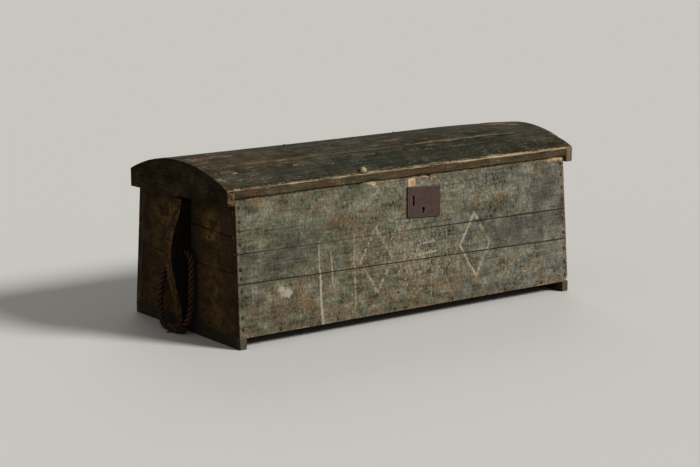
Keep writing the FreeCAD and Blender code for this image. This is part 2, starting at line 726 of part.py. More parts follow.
def runner_nails(side):
    """Nails up through a runner into the end board, heads sunk in the runner's underside."""
    group = NailGroup()
    x = side * (end_x(RUNNER_HEIGHT) - RUNNER_THICK / 2)
    depth = side_y(RUNNER_HEIGHT)
    upside_down = Rotation(V(1, 0, 0), 180)
    front, back = RUNNER_NAIL_INSETS
    for y in (front - depth, RUNNER_NAIL_MIDDLE, depth - back):
        group.add(Placement(V(x, y, NAIL_HEAD_THICK), upside_down), NAIL_LENGTH)
    return group


def lid_nails():
    """Nails down through the planks into the ribs, and in through the cleats."""
    group = NailGroup()
    edges = plank_edges()
    for front, back in zip(edges[:-1], edges[1:]):
        for share in PLANK_NAILS:
            y = front + share * (back - front)
            if abs(y - ARCH_Y) < RIB_NAIL_REACH * ARCH_REACH:
                for side in (-1, 1):
                    group.add(arch_frame(side * RIB_PLACE, y, OUTER_RADIUS), RIB_NAIL_LENGTH)
            z = arch_z(y, OUTER_RADIUS - LID_THICK / 2)
            for side in (-1, 1):
                head = V(side * (PLANK_END + CLEAT_THICK), y, z)
                group.add(Placement(head, Rotation(V(0, 1, 0), 90 * side)), NAIL_LENGTH)
    return group


def block_nails(side):
    """Nails through the low ends of a handle block into the end boards."""
    group = NailGroup()
    ends = ((BLOCK_FOOT + BLOCK_NAIL_INSET, BLOCK_THICK_FOOT),
            (block_top() - BLOCK_NAIL_INSET, BLOCK_THICK_TOP))
    for z, thick in ends:
        for y in around(BLOCK_MIDDLE_Y, BLOCK_NAIL_SPACING):
            group.add(end_frame(side, y, z, thick + BLOCK_NAIL_STAND), BLOCK_NAIL_LENGTH)
    return group


def leaf_nails(x):
    """Nails through a leaf into the back."""
    group = NailGroup()
    on_plate = Placement(V(0, 0, HINGE_PLATE), Rotation())
    for drop, u in LEAF_NAILS:
        z = hinge_axis()[1] - drop * math.cos(math.radians(SIDE_LEAN))
        group.add(back_frame(x + u, z).multiply(on_plate), SHORT_NAIL)
    return group


def strap_nails(x):
    """Nails up through a strap into the lid."""
    group = NailGroup()
    upside_down = Placement(V(0, 0, 0), Rotation(V(1, 0, 0), 180))
    for back_off, u in STRAP_NAILS:
        frame = arch_frame(x + u, LID_BACK - back_off, strap_top() - HINGE_PLATE)
        group.add(frame.multiply(upside_down), SHORT_NAIL)
    return group


def lock_nails():
    """One nail through each corner of the lock's plate."""
    group = NailGroup()
    for u in around(0, PLATE_WIDTH - 2 * PLATE_NAIL_INSET):
        for v in around(0, PLATE_HEIGHT - 2 * PLATE_NAIL_INSET):
            corner = Placement(V(u, v, PLATE_THICK), Rotation())
            group.add(lock_frame().multiply(corner), SHORT_NAIL)
    return group


# ---------------------------------------------------------------- the whole chest
def build():
    """Every piece of the chest, by node name."""
    nodes = {}
    layers = ("lower", "middle", "upper")
    sides = (("left", -1), ("right", 1))

    front_nails = wall_nails(front_frame, LEFT_EDGE_NAILS, RIGHT_EDGE_NAILS)
    back_nails = wall_nails(back_frame, RIGHT_EDGE_NAILS, LEFT_EDGE_NAILS)
    plate_nails = lock_nails()
    top_nails = lid_nails()
    leaf_groups = [leaf_nails(side * HINGE_PLACE) for _, side in sides]
    strap_groups = [strap_nails(side * HINGE_PLACE) for _, side in sides]

    mortise = placed(lock_mortise(), lock_frame())
    for layer, board in zip(layers, side_boards(-1, FRONT_JOINTS)):
        nodes["front_board_" + layer] = drilled(board.cut(mortise), front_nails, plate_nails)
    notches = [hinge_notch(side * HINGE_PLACE) for _, side in sides]
    for layer, board in zip(layers, side_boards(1, BACK_JOINTS)):
        nodes["back_board_" + layer] = drilled(board.cut(notches), back_nails, *leaf_groups)
    for name, plank in zip(("front", "middle", "back"), bottom_planks()):
        nodes["bottom_plank_" + name] = drilled(plank, front_nails, back_nails)
    for name, plank in zip(("front", "front_middle", "back_middle", "back"), lid_planks()):
        nodes["lid_plank_" + name] = drilled(plank, top_nails, *strap_groups)

    for (end, side), leaf_group, strap_group in zip(sides, leaf_groups, strap_groups):
        handle_nails = block_nails(side)
        foot_nails = runner_nails(side)
        for layer, board in zip(layers, end_boards(side)):
            nodes[end + "_end_board_" + layer] = drilled(board, front_nails, back_nails,
                                                         handle_nails, foot_nails)
        nodes[end + "_runner"] = drilled(runner(side), foot_nails)
        nodes[end + "_runner_nails"] = foot_nails.shape()
        nodes[end + "_handle_block"] = drilled(handle_block(side), handle_nails)
        nodes[end + "_handle_nails"] = handle_nails.shape()
        nodes[end + "_becket_rope"] = becket(side)
        nodes["lid_cleat_" + end] = drilled(cleat(side), top_nails)
        nodes["lid_rib_" + end] = drilled(rib(side), top_nails)
        hinge_x = side * HINGE_PLACE
        nodes[end + "_hinge_strap"] = drilled(hinge_strap(hinge_x), strap_group)
        nodes[end + "_hinge_leaf"] = drilled(hinge_leaf(hinge_x), leaf_group)
        nodes[end + "_hinge_pin"] = hinge_pin(hinge_x)
        nodes[end + "_hinge_strap_nails"] = strap_group.shape()
        nodes[end + "_hinge_leaf_nails"] = leaf_group.shape()

    nodes["lock_plate"] = drilled(placed(lock_plate(), lock_frame()), plate_nails)
    nodes["lock_case"] = placed(lock_case(), lock_frame())
    nodes["lock_bolt"] = placed(lock_bolt(), lock_frame())
    nodes["lock_spring"] = placed(lock_spring(), lock_frame())
    nodes["lock_plate_nails"] = plate_nails.shape()
    nodes["front_nails"] = front_nails.shape()
    nodes["back_nails"] = back_nails.shape()
    nodes["lid_nails"] = top_nails.shape()
    return nodes


def main():
    os.makedirs("parts", exist_ok=True)
    nodes = build()
    for name, shape in nodes.items():
        shape.exportStep(os.path.join("parts", name + ".step"))
        solids = shape.Solids
        valid = all(solid.isValid() for solid in solids)
        print("%-28s %3d solid(s) %9.1f cm3 %s" % (name, len(solids), shape.Volume / 1000, valid))
    print("hinge axis y %.3f z %.3f" % hinge_axis())
    print("rope axis x %.3f" % rope_axis_x(1))
    print("bolt slides %.1f along" % BOLT_TRAVEL, lock_frame().Rotation.multVec(V(-1, 0, 0)))


main()
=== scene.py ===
import json
import math

import bmesh
import bpy
import numpy as np
from mathutils import Matrix, Vector

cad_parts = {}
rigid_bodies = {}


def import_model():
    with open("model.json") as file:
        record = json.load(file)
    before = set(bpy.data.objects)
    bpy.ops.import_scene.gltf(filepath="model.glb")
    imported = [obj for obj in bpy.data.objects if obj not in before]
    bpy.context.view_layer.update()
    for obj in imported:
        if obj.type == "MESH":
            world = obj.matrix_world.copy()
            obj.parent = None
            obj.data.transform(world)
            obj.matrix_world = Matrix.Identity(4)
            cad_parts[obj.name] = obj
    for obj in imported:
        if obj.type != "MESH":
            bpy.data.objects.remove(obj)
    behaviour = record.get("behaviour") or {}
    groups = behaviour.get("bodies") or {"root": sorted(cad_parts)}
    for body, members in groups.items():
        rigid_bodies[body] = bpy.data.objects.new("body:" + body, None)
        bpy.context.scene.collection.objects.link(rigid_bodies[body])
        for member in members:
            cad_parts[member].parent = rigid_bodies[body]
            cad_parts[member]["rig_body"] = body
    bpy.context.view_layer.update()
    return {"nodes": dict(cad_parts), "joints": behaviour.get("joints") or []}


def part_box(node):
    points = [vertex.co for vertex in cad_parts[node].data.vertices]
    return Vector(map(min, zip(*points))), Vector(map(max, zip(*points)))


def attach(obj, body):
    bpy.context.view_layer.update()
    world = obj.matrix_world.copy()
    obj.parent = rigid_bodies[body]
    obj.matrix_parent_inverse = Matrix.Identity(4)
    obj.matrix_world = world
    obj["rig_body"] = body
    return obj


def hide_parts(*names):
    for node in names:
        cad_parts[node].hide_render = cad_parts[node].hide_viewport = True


bl_info = {
    "name": "Sea Chest",
    "version": (1, 0, 0),
    "blender": (4, 5, 0),
    "location": "View3D > Sidebar > Sea Chest",
    "description": "Worn planks, rope beckets and ironwork of a sailor's sea chest",
    "category": "Add Mesh",
}

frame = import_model()

MM = 0.001
LAYERS = ("lower", "middle", "upper")
ENDS = (("left", -1), ("right", 1))
LID_PLANKS = ("front", "front_middle", "back_middle", "back")

# ---------------------------------------------------------------- camera and light
CAMERA_PLACE = (-3.1895, -4.3095, 1.3009)
CAMERA_AIM = (0.57977, 0.78884, -0.20395)
CAMERA_LENS, SENSOR_WIDTH = 105.9, 36.0   # millimetres
# Name, strength, angle in degrees and the way towards it: the large soft lamp to the right of
# the chest's front, and the weaker one behind it on the right.
LAMPS = (("soft_lamp", 3.3, 16, (0.46, -0.69, 0.56)), ("back_lamp", 0.6, 35, (0.45, 0.72, 0.52)))
ROOM_LIGHT = 0.22              # strength of the light from all round
FLOOR_SIZE = 60.0              # metres

# ---------------------------------------------------------------- the beckets' route
# Points of a becket in millimetres: out from the rope's axis, along y, above the floor.
BECKET_ROUTE = (
    (0.0, -8.0, 208.0), (0.0, -33.0, 208.0), (0.6, -47.0, 194.0), (2.0, -48.5, 160.0),
    (3.0, -47.3, 118.0), (4.5, -48.5, 80.0), (7.0, -47.0, 49.0), (13.0, -33.3, 23.2),
    (21.0, -8.0, 8.6), (26.0, 24.0, 8.4), (22.5, 56.2, 8.6), (14.0, 81.8, 23.2),
    (8.0, 96.5, 48.8), (5.5, 94.6, 86.3), (3.5, 87.4, 121.6), (2.0, 75.2, 153.3),
    (0.8, 59.3, 178.7), (0.2, 38.8, 197.8), (0.0, 16.0, 208.0), (0.0, -7.0, 208.0))
BECKET_DIAMETER = 0.016

# ---------------------------------------------------------------- wear, in millimetres
# On the front: x, z, reach along x, reach along z, strength.
FRONT_BARE = (
    (-231, 283, 26, 20, 0.34), (-190, 286, 30, 12, 0.30), (-156, 246, 16, 20, 0.28),
    (-156, 180, 14, 46, 0.22), (-354, 138, 16, 12, 0.42), (-335, 97, 9, 28, 0.30),
    (-187, 46, 10, 12, 0.45), (-485, 362, 44, 8, 0.34), (-413, 367, 60, 7, 0.30),
    (-344, 336, 26, 7, 0.28), (99, 291, 26, 12, 0.34), (227, 287, 22, 10, 0.32),
    (292, 285, 22, 10, 0.30), (302, 263, 9, 24, 0.26), (344, 292, 6, 20, 0.32),
    (144, 162, 18, 20, 0.26), (-35, 211, 20, 22, 0.30), (-11, 51, 18, 40, 0.26),
    (-31, 300, 14, 18, 0.24), (518, 364, 16, 8, 0.95), (525, 42, 14, 16, 0.55),
    (-357, 34, 60, 6, 0.20), (30, 34, 90, 6, 0.20), (260, 36, 120, 6, 0.18),
    (-524, 60, 7, 40, 0.28), (-524, 330, 7, 40, 0.25), (-125, 368, 24, 5, 1.60),
    (-60, 368, 44, 4, 1.50), (62, 367, 30, 4, 1.60), (300, 371, 160, 3, 0.60),
    (492, 365, 26, 6, 1.60), (430, 369, 50, 3, 0.60), (-210, 371, 60, 3, 0.80),
    (-516, 220, 9, 170, 0.16), (60, 369, 40, 3, 0.55), (528, 170, 6, 130, 0.55),
    (-300, 372, 9, 4, 0.60), (526, 318, 5, 8, 0.90), (528, 236, 6, 9, 1.00),
    (526, 345, 8, 18, 0.60), (470, 34, 60, 10, 0.35))
# Where the paint is only thin: broad, faint patches.
FRONT_THIN = (
    (-380, 80, 150, 66, 0.34), (-150, 165, 90, 120, 0.20), (-160, 275, 90, 26, 0.14),
    (20, 150, 90, 90, 0.20), (120, 70, 160, 50, 0.22), (280, 270, 140, 40, 0.08),
    (330, 110, 190, 90, 0.05), (-430, 190, 60, 40, 0.08))
FRONT_GRIME = (
    (231, 228, 14, 10, 0.95), (250, 197, 16, 14, 0.60), (300, 183, 60, 42, 0.46),
    (385, 190, 90, 60, 0.36), (450, 245, 60, 80, 0.34), (241, 123, 9, 34, 0.50),
    (-310, 262, 120, 44, 0.34), (-420, 60, 110, 40, 0.40), (480, 300, 50, 50, 0.34),
    (-10, 330, 60, 26, 0.12), (-130, 34, 420, 16, 0.26), (330, 40, 200, 20, 0.22),
    (-470, 120, 26, 40, 0.20), (-516, 200, 14, 180, 0.30), (516, 200, 12, 170, 0.25),
    (-210, 215, 30, 50, 0.24), (-390, 205, 130, 50, 0.50), (110, 205, 30, 50, 0.16))
ROUNDED_CORNER = 22.0             # the front's lower right corner, worn round
FADED = (-60.0, 460.0)            # the front fades grey from here rightwards, over this length
PAINTED_OVER = (-210.0, 260.0)    # where paint fills the upper joint: middle, reach
FRONT_HOLES = (
    (-291, 342, 3.0, 3.4, 1.3), (-524, 198, 3.4, 3.8, 1.3), (-46, 76, 3.0, 3.0, 1.3),
    (-40, 24, 3.0, 4.0, 1.2), (-413, 37, 3.0, 3.6, 1.2), (66, 366, 10, 4.0, 0.9),
    (34, 368, 9, 3.0, 0.8), (-466, 292, 2.6, 2.6, 1.0))
FRONT_PALE = (
    (-406, 135, 12, 8, 1.20), (-386, 122, 9, 11, 1.60), (-396, 120, 20, 7, 0.70),
    (-118, 369, 22, 3, 1.10), (-62, 368, 16, 2.4, 1.00), (50, 367, 14, 2.4, 1.00),
    (84, 369, 12, 2.0, 0.90), (-30, 367, 8, 2.4, 0.80), (20, 200, 160, 80, 0.24),
    (330, 110, 170, 60, 0.14), (-35, 250, 40, 34, 0.22), (400, 80, 110, 46, 0.20),
    (130, 330, 160, 24, 0.22), (-470, 110, 40, 70, 0.12), (-130, 300, 200, 40, 0.14),
    (20, 130, 150, 60, 0.26), (310, 310, 120, 36, 0.18))
# Strokes of pale paint and scratches: x and z of both ends, half its width, strength.
FRONT_STROKES = (
    (-290, 228, -289, 120, 2.4, 1.15), (-289, 150, -288, 60, 3.0, 1.40),
    (-288, 66, -286, 28, 4.2, 1.40), (-253, 208, -251, 126, 2.0, 1.00),
    (-180, 244, -184, 44, 1.8, 0.75), (344, 306, 344, 270, 2.0, 0.75),
    (118, 226, 118, 150, 1.8, 0.60), (-446, 150, -444, 60, 1.8, 0.60),
    (60, 110, 61, 50, 1.8, 0.60), (402, 250, 404, 170, 1.8, 0.58))
# Worn plain lozenges: x and z of the middle, half the width, half the height, strength.
LOZENGES = ((-112, 170, 50, 84, 0.60), (212, 170, 50, 84, 0.80))
LOZENGE_STROKE = 5.0
DASH_PALE = 0.70
DASHES = ((22, 192, 78, 196), (22, 164, 78, 168))
HASP_GHOST = (10.0, 354.5, 12.0, 10.5)   # bare patch above the lock: x, z, half sizes
END_BARE = (
    (-119, 292, 20, 17, 0.42), (92, 298, 24, 16, 0.46), (76, 262, 12, 10, 0.40),
    (-130, 100, 40, 60, 0.20), (140, 140, 30, 60, 0.20))
# Where the ends' paint is rubbed to ochre.
END_OCHRE = (
    (-119, 290, 31, 26, 1.50), (92, 294, 38, 25, 1.50), (70, 262, 16, 14, 0.90),
    (-110, 259, 30, 7, 0.80), (-130, 150, 60, 80, 0.45), (-150, 60, 40, 40, 0.35),
    (120, 90, 50, 60, 0.30), (150, 220, 26, 60, 0.30))
END_HOLES = (
    (-107, 259, 4.5, 5.0, 1.2), (-141, 263, 4.0, 4.5, 1.1), (-92, 262, 3.5, 4.0, 1.0),
    (64, 272, 4.0, 5.0, 1.1), (-120, 122, 3.0, 3.0, 0.9), (128, 214, 3.0, 3.5, 0.9))
END_GRIME = (
    (-150, 345, 60, 20, 0.35), (40, 345, 22, 16, 0.45), (-30, 60, 60, 40, 0.45),
    (-190, 200, 18, 120, 0.35), (200, 180, 18, 140, 0.35))
BLOCK_DIRT_AND_SHADOW = (-30.0, 26.0, 330.0, 0.9)   # dirt and painted shadow behind the handle block: y, reach, top, strength
# On the lid: x, y, reach along x, reach along y, strength.
LID_BARE = (
    (-540, -180, 14, 9, 1.20), (-529, -66, 20, 60, 0.30), (-430, -50, 130, 70, 0.16),
    (-480, 0, 60, 40, 0.24), (-500, -130, 40, 20, 0.24), (-481, -154, 9, 3, 1.00),
    (-300, -150, 14, 3, 0.70), (-264, -112, 90, 5, 0.50), (262, -110, 150, 5, 0.75),
    (90, -105, 60, 5, 0.50), (478, -7, 50, 13, 1.20), (560, 60, 30, 20, 0.80),
    (504, -46, 20, 7, 1.00), (-90, -70, 60, 6, 0.45), (330, 118, 120, 14, 0.45),
    (-280, 112, 140, 12, 0.30), (60, -60, 40, 4, 0.55), (556, -158, 9, 7, 1.20),
    (-400, -110, 60, 4, 0.40))
LID_GRIME = (
    (-330, -185, 150, 26, 0.60), (0, -185, 200, 24, 0.40), (-250, -70, 120, 30, 0.30),
    (300, -170, 150, 30, 0.20), (200, -40, 140, 30, 0.30))
LID_PALE = (
    (-541, -180, 11, 7, 0.90), (-481, -154, 9, 3, 0.95), (556, -158, 8, 6, 0.80),
    (-420, -196, 40, 3, 0.45), (-250, -150, 26, 3, 0.45), (-60, -140, 30, 3, 0.40),
    (120, -150, 40, 3, 0.40), (330, -120, 60, 3, 0.45), (-330, -60, 50, 4, 0.40),
    (0, -224, 900, 3, 0.50))
# Where the lid's green has gone to olive.
LID_OLIVE = (
    (-390, -110, 120, 50, 0.60), (-300, -60, 160, 30, 0.40), (-180, -130, 90, 20, 0.30),
    (120, -60, 120, 26, 0.20), (360, 20, 120, 40, 0.30))
# Where the lid's top is worn down: at its right end (x, y, reach along x, reach along y,
# depth), and along its back (from x, over this length, y, reach along y, depth).
SUNK_RIGHT = (600.0, 60.0, 150.0, 85.0, 7.5)
SUNK_BACK = (-590.0, 600.0, 110.0, 90.0, 3.0)
EDGE_RUBBED = (160.0, 300.0)      # the lid's front edge is rubbed from here on, over this length
# Broken edges: which corner of the profile, x, reach and depth in metres.
FRONT_CHIPS = (
    (3, -0.133, 0.010, 0.0015), (3, -0.324, 0.008, 0.002), (3, 0.01, 0.012, 0.0020),
    (3, 0.07, 0.006, 0.0015), (3, -0.12, 0.004, 0.0015))
LID_CHIPS = (
    (0, -0.137, 0.012, 0.0028), (0, 0.24, 0.02, 0.0016), (1, -0.12, 0.024, 0.0055),
    (1, -0.3, 0.01, 0.002), (1, 0.018, 0.014, 0.0035))
CLEAT_CHIPS = ((3, 0.052, 0.012, 0.004), (2, 0.055, 0.010, 0.003))   # from the front instead
LID_PLUG = (-146.0, -224.0, 9.0, 8.5)     # cream bead near the front edge: x, y, half sizes
LID_BREAK = (-540.0, -166.0, 17.0, 3.5)   # broken-out edge: x, y, reach, depth

RNG_SEED = 1851


def linear(hex_colour):
    """An sRGB hex colour as linear red, green, blue and alpha."""
    parts = [int(hex_colour[i:i + 2], 16) / 255 for i in (1, 3, 5)]
    return (*[p / 12.92 if p <= 0.04045 else ((p + 0.055) / 1.055) ** 2.4 for p in parts], 1.0)


def colour_property(title, about, default):
    return bpy.props.FloatVectorProperty(name=title, description=about, subtype="COLOR", size=4,
                                         min=0.0, max=1.0, default=linear(default))


def size_property(title, about, millimetres):
    return bpy.props.FloatProperty(name=title, description=about, unit="LENGTH", min=0.0,
                                   precision=5, default=millimetres * MM)


class SeaChestSizes(bpy.types.PropertyGroup):
    front_grid: size_property("Front grid", "Spacing of the front boards' surface points", 2.0)
    end_grid: size_property("End grid", "Spacing of the end boards' surface points", 3.0)
    board_grid: size_property("Board grid", "Spacing of the other boards' surface points", 6.0)
    lid_grid: size_property("Lid grid", "Spacing of the lid planks' surface points", 4.5)
    corner_wear: size_property("Corner wear", "Radius worn on the box's outer corners", 2.2)
    joint_wear: size_property("Joint wear", "Radius on the edges where boards meet", 1.1)
    warp: size_property("Warp", "Depth of the hollows in the boards' outer faces", 0.7)
    iron_grain: size_property("Iron grain", "Spacing of the ironwork's surface points", 1.1)
    block_grain: size_property("Block grain", "Spacing of the handle blocks' surface points", 2.2)
    nail_head: size_property("Nail head", "Radius of a nail's head", 3.0)
    nail_rise: size_property("Nail rise", "Height of a nail's head", 1.2)
    rope_lay: size_property("Rope lay", "Length of one full turn of a becket's strands", 46.0)
    knot_cord: size_property("Knot cord", "Thickness of the cord knotted round a becket", 11.0)


class SeaChestColours(bpy.types.PropertyGroup):
    front_green: colour_property("Front green", "Grey-green paint of the front", "#5f604d")
    front_grey: colour_property("Front grey", "Paint bleached grey", "#6b675e")
    front_brown: colour_property("Front brown", "Paint rubbed thin over the wood", "#665942")
    lid_green: colour_property("Lid green", "Dark green paint of the lid", "#242618")
    lid_grey: colour_property("Lid grey", "Weathered grey of the lid", "#37362a")
    lid_brown: colour_property("Lid brown", "Brown of the lid where its paint is thin", "#3f2f1a")
    edge_brown: colour_property("Lid edge", "Brown of the lid's front edge", "#4a3b28")
    end_olive: colour_property("End olive", "Dark olive paint of the two ends", "#4c3d25")
    end_brown: colour_property("End brown", "Brown paint of the two ends", "#3f2d1b")
    pale_paint: colour_property("Pale paint", "Cream of the marks and smears", "#a69d88")
    bare_light: colour_property("Bare wood, light", "Worn pine, its soft rings", "#917b5b")
    bare_dark: colour_property("Bare wood, dark", "Worn pine, its hard rings", "#614f39")
    # Besides dirt, this colour paints the shadow round the lid's bead and behind the handle
    # blocks.
    grime: colour_property("Grime", "Dirt in hollows and corners", "#393732")
    iron: colour_property("Iron", "Red-brown of the rusted iron", "#47312a")
    hemp: colour_property("Hemp", "Tarred hemp rope", "#432a1e")
    floor: colour_property("Floor", "Pale studio floor", "#d2d0ca")


# ---------------------------------------------------------------- noise, meshes and marks
LATTICE = 48                   # cells of the noise lattice before it repeats
SAME_POINT = 1e-6              # metres within which points are one


def lumps(points, size, seed):
    """Smooth noise from -1 to 1, its lumps about size apart: millimetres, one number or three."""
    lattice = np.random.default_rng(seed).uniform(-1, 1, (LATTICE,) * 3)
    place = points / (np.array(size) * MM)
    cell = np.floor(place).astype(int)
    share = place - cell
    share = share * share * (3 - 2 * share)
    total = np.zeros(len(points))
    for corner in np.ndindex(2, 2, 2):
        weight = np.where(corner, share, 1 - share).prod(axis=1)
        total += weight * lattice[tuple(((cell + corner) % LATTICE).T)]
    return total


def patches(across, up, marks, wobble):
    """Soft oval patches, their outlines moved by wobble, all in millimetres."""
    total = np.zeros(len(across))
    for x, z, reach_x, reach_z, strength in marks:
        off = ((across + wobble - x) / reach_x) ** 2 + ((up - wobble - z) / reach_z) ** 2
        total += strength * np.exp(-off)
    return total


def strokes(across, up, lines):
    """Straight strokes with soft sides, all in millimetres."""
    total = np.zeros(len(across))
    for x0, z0, x1, z1, half, strength in lines:
        run = np.array([x1 - x0, z1 - z0], float)
        share = np.clip(((across - x0) * run[0] + (up - z0) * run[1]) / (run @ run), 0, 1)
        away = np.hypot(across - x0 - share * run[0], up - z0 - share * run[1])
        total = np.maximum(total, strength * np.exp(-(away / half) ** 2))
    return total


def plain_marks():
    """The strokes of the plain lozenges and dashes."""
    lines = [(*dash, LOZENGE_STROKE, DASH_PALE) for dash in DASHES]
    for x, z, half_x, half_z, strength in LOZENGES:
        tips = [(x - half_x, z), (x, z + half_z), (x + half_x, z), (x, z - half_z)]
        for start, stop in zip(tips, tips[1:] + tips[:1]):
            lines.append((*start, *stop, LOZENGE_STROKE, strength))
    return lines


def link(obj):
    bpy.context.scene.collection.objects.link(obj)
    return obj


def new_object(name, points, faces, materials):
    mesh = bpy.data.meshes.new(name)
    mesh.from_pydata(points.tolist(), [], faces)
    mesh.shade_smooth()
    for material in materials:
        mesh.materials.append(bpy.data.materials[material])
    return link(bpy.data.objects.new(name, mesh))


def shape_of(node):
    """A CAD node's mesh as a bmesh, its doubled points merged."""
    shape = bmesh.new()
    shape.from_mesh(frame["nodes"][node].data)
    bmesh.ops.remove_doubles(shape, verts=shape.verts, dist=SAME_POINT)
    return shape


def mesh_from(shape, name):
    """The bmesh as a mesh; the bmesh is freed."""
    mesh = bpy.data.meshes.new(name)
    shape.to_mesh(mesh)
    shape.free()
    return mesh


def evaluated(obj):
    """A new mesh of the object with its modifiers applied."""
    bpy.context.view_layer.update()
    graph = bpy.context.evaluated_depsgraph_get()
    return bpy.data.meshes.new_from_object(obj.evaluated_get(graph), depsgraph=graph)


def values(items, name, size=3, kind=np.float32):
    """One property of every item, a row for each."""
    flat = np.empty(len(items) * size, kind)
    items.foreach_get(name, flat)
    return flat.reshape(-1, size)


def positions(mesh):
    return values(mesh.vertices, "co").astype(float)


def normals(mesh):
    return values(mesh.vertex_normals, "vector").astype(float)


def set_positions(mesh, points):
    mesh.vertices.foreach_set("co", points.astype(np.float32).ravel())
    mesh.update()


def set_masks(obj, **masks):
    """Stores masks from 0 upwards, by name, for the materials to read."""
    for name, strength in masks.items():
        kept = obj.data.attributes
        layer = kept.get(name) or kept.new(name, "FLOAT", "POINT")
        layer.data.foreach_set("value", np.clip(strength, 0, 2).astype(np.float32))


def unit(vectors):
    return vectors / np.maximum(np.linalg.norm(vectors, axis=-1, keepdims=True), 1e-12)


# ---------------------------------------------------------------- boards
ARC_STEPS = 3                  # segments over a rounded edge
END_PULL = 4                   # how strongly a board's end is sought beside its corners
END_ROWS = (0.0, 0.12, 0.4, 1.0)   # rows of points over a rounded end, as shares of its radius
NEAR_EDGE = 0.0009             # metres from a rounded edge to the first row of points
OUTER_SIDE = 3                 # the painted side, from the last corner to the first
STANDING = ((1, -1), (-1, -1), (-1, 1), (1, 1))   # a standing board's corners: outwards, up
LYING = ((-1, 1), (-1, -1), (1, -1), (1, 1))      # a lying board's corners: backwards, up


def ring_faces(count, around, first=0):
    """Quads between rings of points, and then a face over each end."""
    i, j = np.meshgrid(np.arange(count - 1), np.arange(around), indexing="ij")
    low, after = first + i * around, (j + 1) % around
    quads = np.stack([low + j, low + after, low + around + after, low + around + j], axis=-1)
    ring = first + np.arange(around)
    return quads.reshape(-1, 4).tolist() + [ring[::-1].tolist(),
                                            (ring + (count - 1) * around).tolist()]


class Board:
    """A CAD board made again: a four-cornered profile along a line, its edges and ends worn."""

    def __init__(self, node, corners, length, spacing, splits, end_radius, edge_radius,
                 bulge=(0,) * 4):
        """corners gives the profile, and edge_radius the radius of its edges, along the length.

        splits says how many steps each side has across, and bulge how far it is curved.
        """
        self.node = node
        near = end_radius * np.array(END_ROWS)
        count = max(3, round(length / spacing))
        middle = np.linspace(end_radius, length - end_radius, count)[1:-1]
        along = np.concatenate([near, middle, length - near[::-1]])
        self.to_end = np.minimum(along, length - along)
        share = np.minimum(self.to_end / end_radius, 1)
        inset = end_radius * (1 - np.sqrt(1 - (1 - share) ** 2))
        profile = corners(along / length)
        profile = profile + sum(self.ways(profile)) * inset[:, None, None]
        before, after = self.ways(profile)
        radius = edge_radius(along)
        core = profile.mean(axis=1)
        lengthwise = unit(np.gradient(core, axis=0))
        points, sides = [], []
        for k in range(4):
            n = (k + 1) % 4
            corner, following = profile[:, k], profile[:, n]
            start = corner + before[:, k] * radius[:, k, None]
            stop = corner + after[:, k] * radius[:, k, None]
            for t in np.linspace(0, 1, ARC_STEPS + 1):
                points.append((1 - t) ** 2 * start + 2 * t * (1 - t) * corner + t * t * stop)
                sides.append((k - 1) % 4 if t < 0.5 else k)
            far = following + before[:, n] * radius[:, n, None]
            out = unit(np.cross(lengthwise, after[:, k]))
            facing = ((corner + following) / 2 - core) * out
            out = out * np.sign(facing.sum(axis=1, keepdims=True))
            near = NEAR_EDGE / np.linalg.norm(following - corner, axis=1).mean()
            for u in (near, *np.linspace(0, 1, splits[k] + 1)[1:-1], 1 - near):
                points.append(stop + (far - stop) * u + out * (4 * u * (1 - u) * bulge[k]))
                sides.append(k)
        self.rings = np.stack(points, axis=1)
        self.sides = np.array(sides)
        self.to_edge = np.linalg.norm(self.rings[:, :, None] - profile[:, None], axis=-1)
        on_outside = np.broadcast_to(self.sides == OUTER_SIDE, self.rings.shape[:2])
        self.outside = on_outside.ravel() * 1.0

    @staticmethod
    def ways(profile):
        """The ways from each corner to the one before it and to the one after it."""
        return [unit(np.roll(profile, by, axis=1) - profile) for by in (1, -1)]

    def build(self, materials, by_side=(1, 1, 1, 0), caps=1):
        """Makes the mesh and returns its points.

        by_side and caps number the materials of the four sides and of the ends.
        """
        count, around = self.rings.shape[:2]
        faces = ring_faces(count, around)
        points = self.rings.reshape(-1, 3)
        a, b, c, d = np.moveaxis(points[np.array(faces[:-2])] - points.mean(axis=0), 1, 0)
        if (np.cross(a, b) * c).sum() + (np.cross(a, c) * d).sum() < 0:
            faces = [face[::-1] for face in faces]
        self.obj = new_object(self.node + "_worn", points, faces, materials)
        index = np.append(np.tile(np.array(by_side)[self.sides], count - 1), (caps, caps))
        polygons = self.obj.data.polygons
        polygons.foreach_set("material_index", index.astype(np.int32))
        for cap in polygons[-2:]:
            cap.use_smooth = False
        return positions(self.obj.data)

    def edge_wear(self, strengths, reach, end_strength=0.0):
        """Wear that fades away from each of the four edges and from both ends."""
        wear = (np.exp(-self.to_edge / (reach * MM)) * np.array(strengths)).sum(axis=-1)
        wear += end_strength * np.exp(-self.to_end / (reach * MM))[:, None]
        return wear.ravel()


def wavering(base, extra, size, seed, chips=()):
    """Edge radii along a board: base for each corner, plus noise where it is worn, plus chips."""
    base, extra = np.broadcast_to(base, 4), np.broadcast_to(extra, 4)

    def radii(along):
        found = np.zeros((len(along), 4))
        for k in range(4):
            line = np.outer(along, (1, 0, 0)) + (0, 7.7 * k, 0)
            found[:, k] = base[k] + extra[k] * np.maximum(0, lumps(line, size, seed + k))
        for corner, place, reach, depth in chips:
            found[:, corner] += depth * np.exp(-((along - place) / reach) ** 2)
        return found
    return radii


def placed(chips, node):
    """The chips, whose x is from the chest's middle, with their distance from the low end."""
    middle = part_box(node)[1][0]
    return [(corner, middle + x, reach, depth) for corner, x, reach, depth in chips]


def node_corner(node, pull):
    """The point of a CAD node that is furthest out along pull."""
    points = positions(frame["nodes"][node].data)
    low, high = points.min(axis=0), points.max(axis=0)
    return points[(((points - low) / (high - low)) @ np.array(pull)).argmax()]


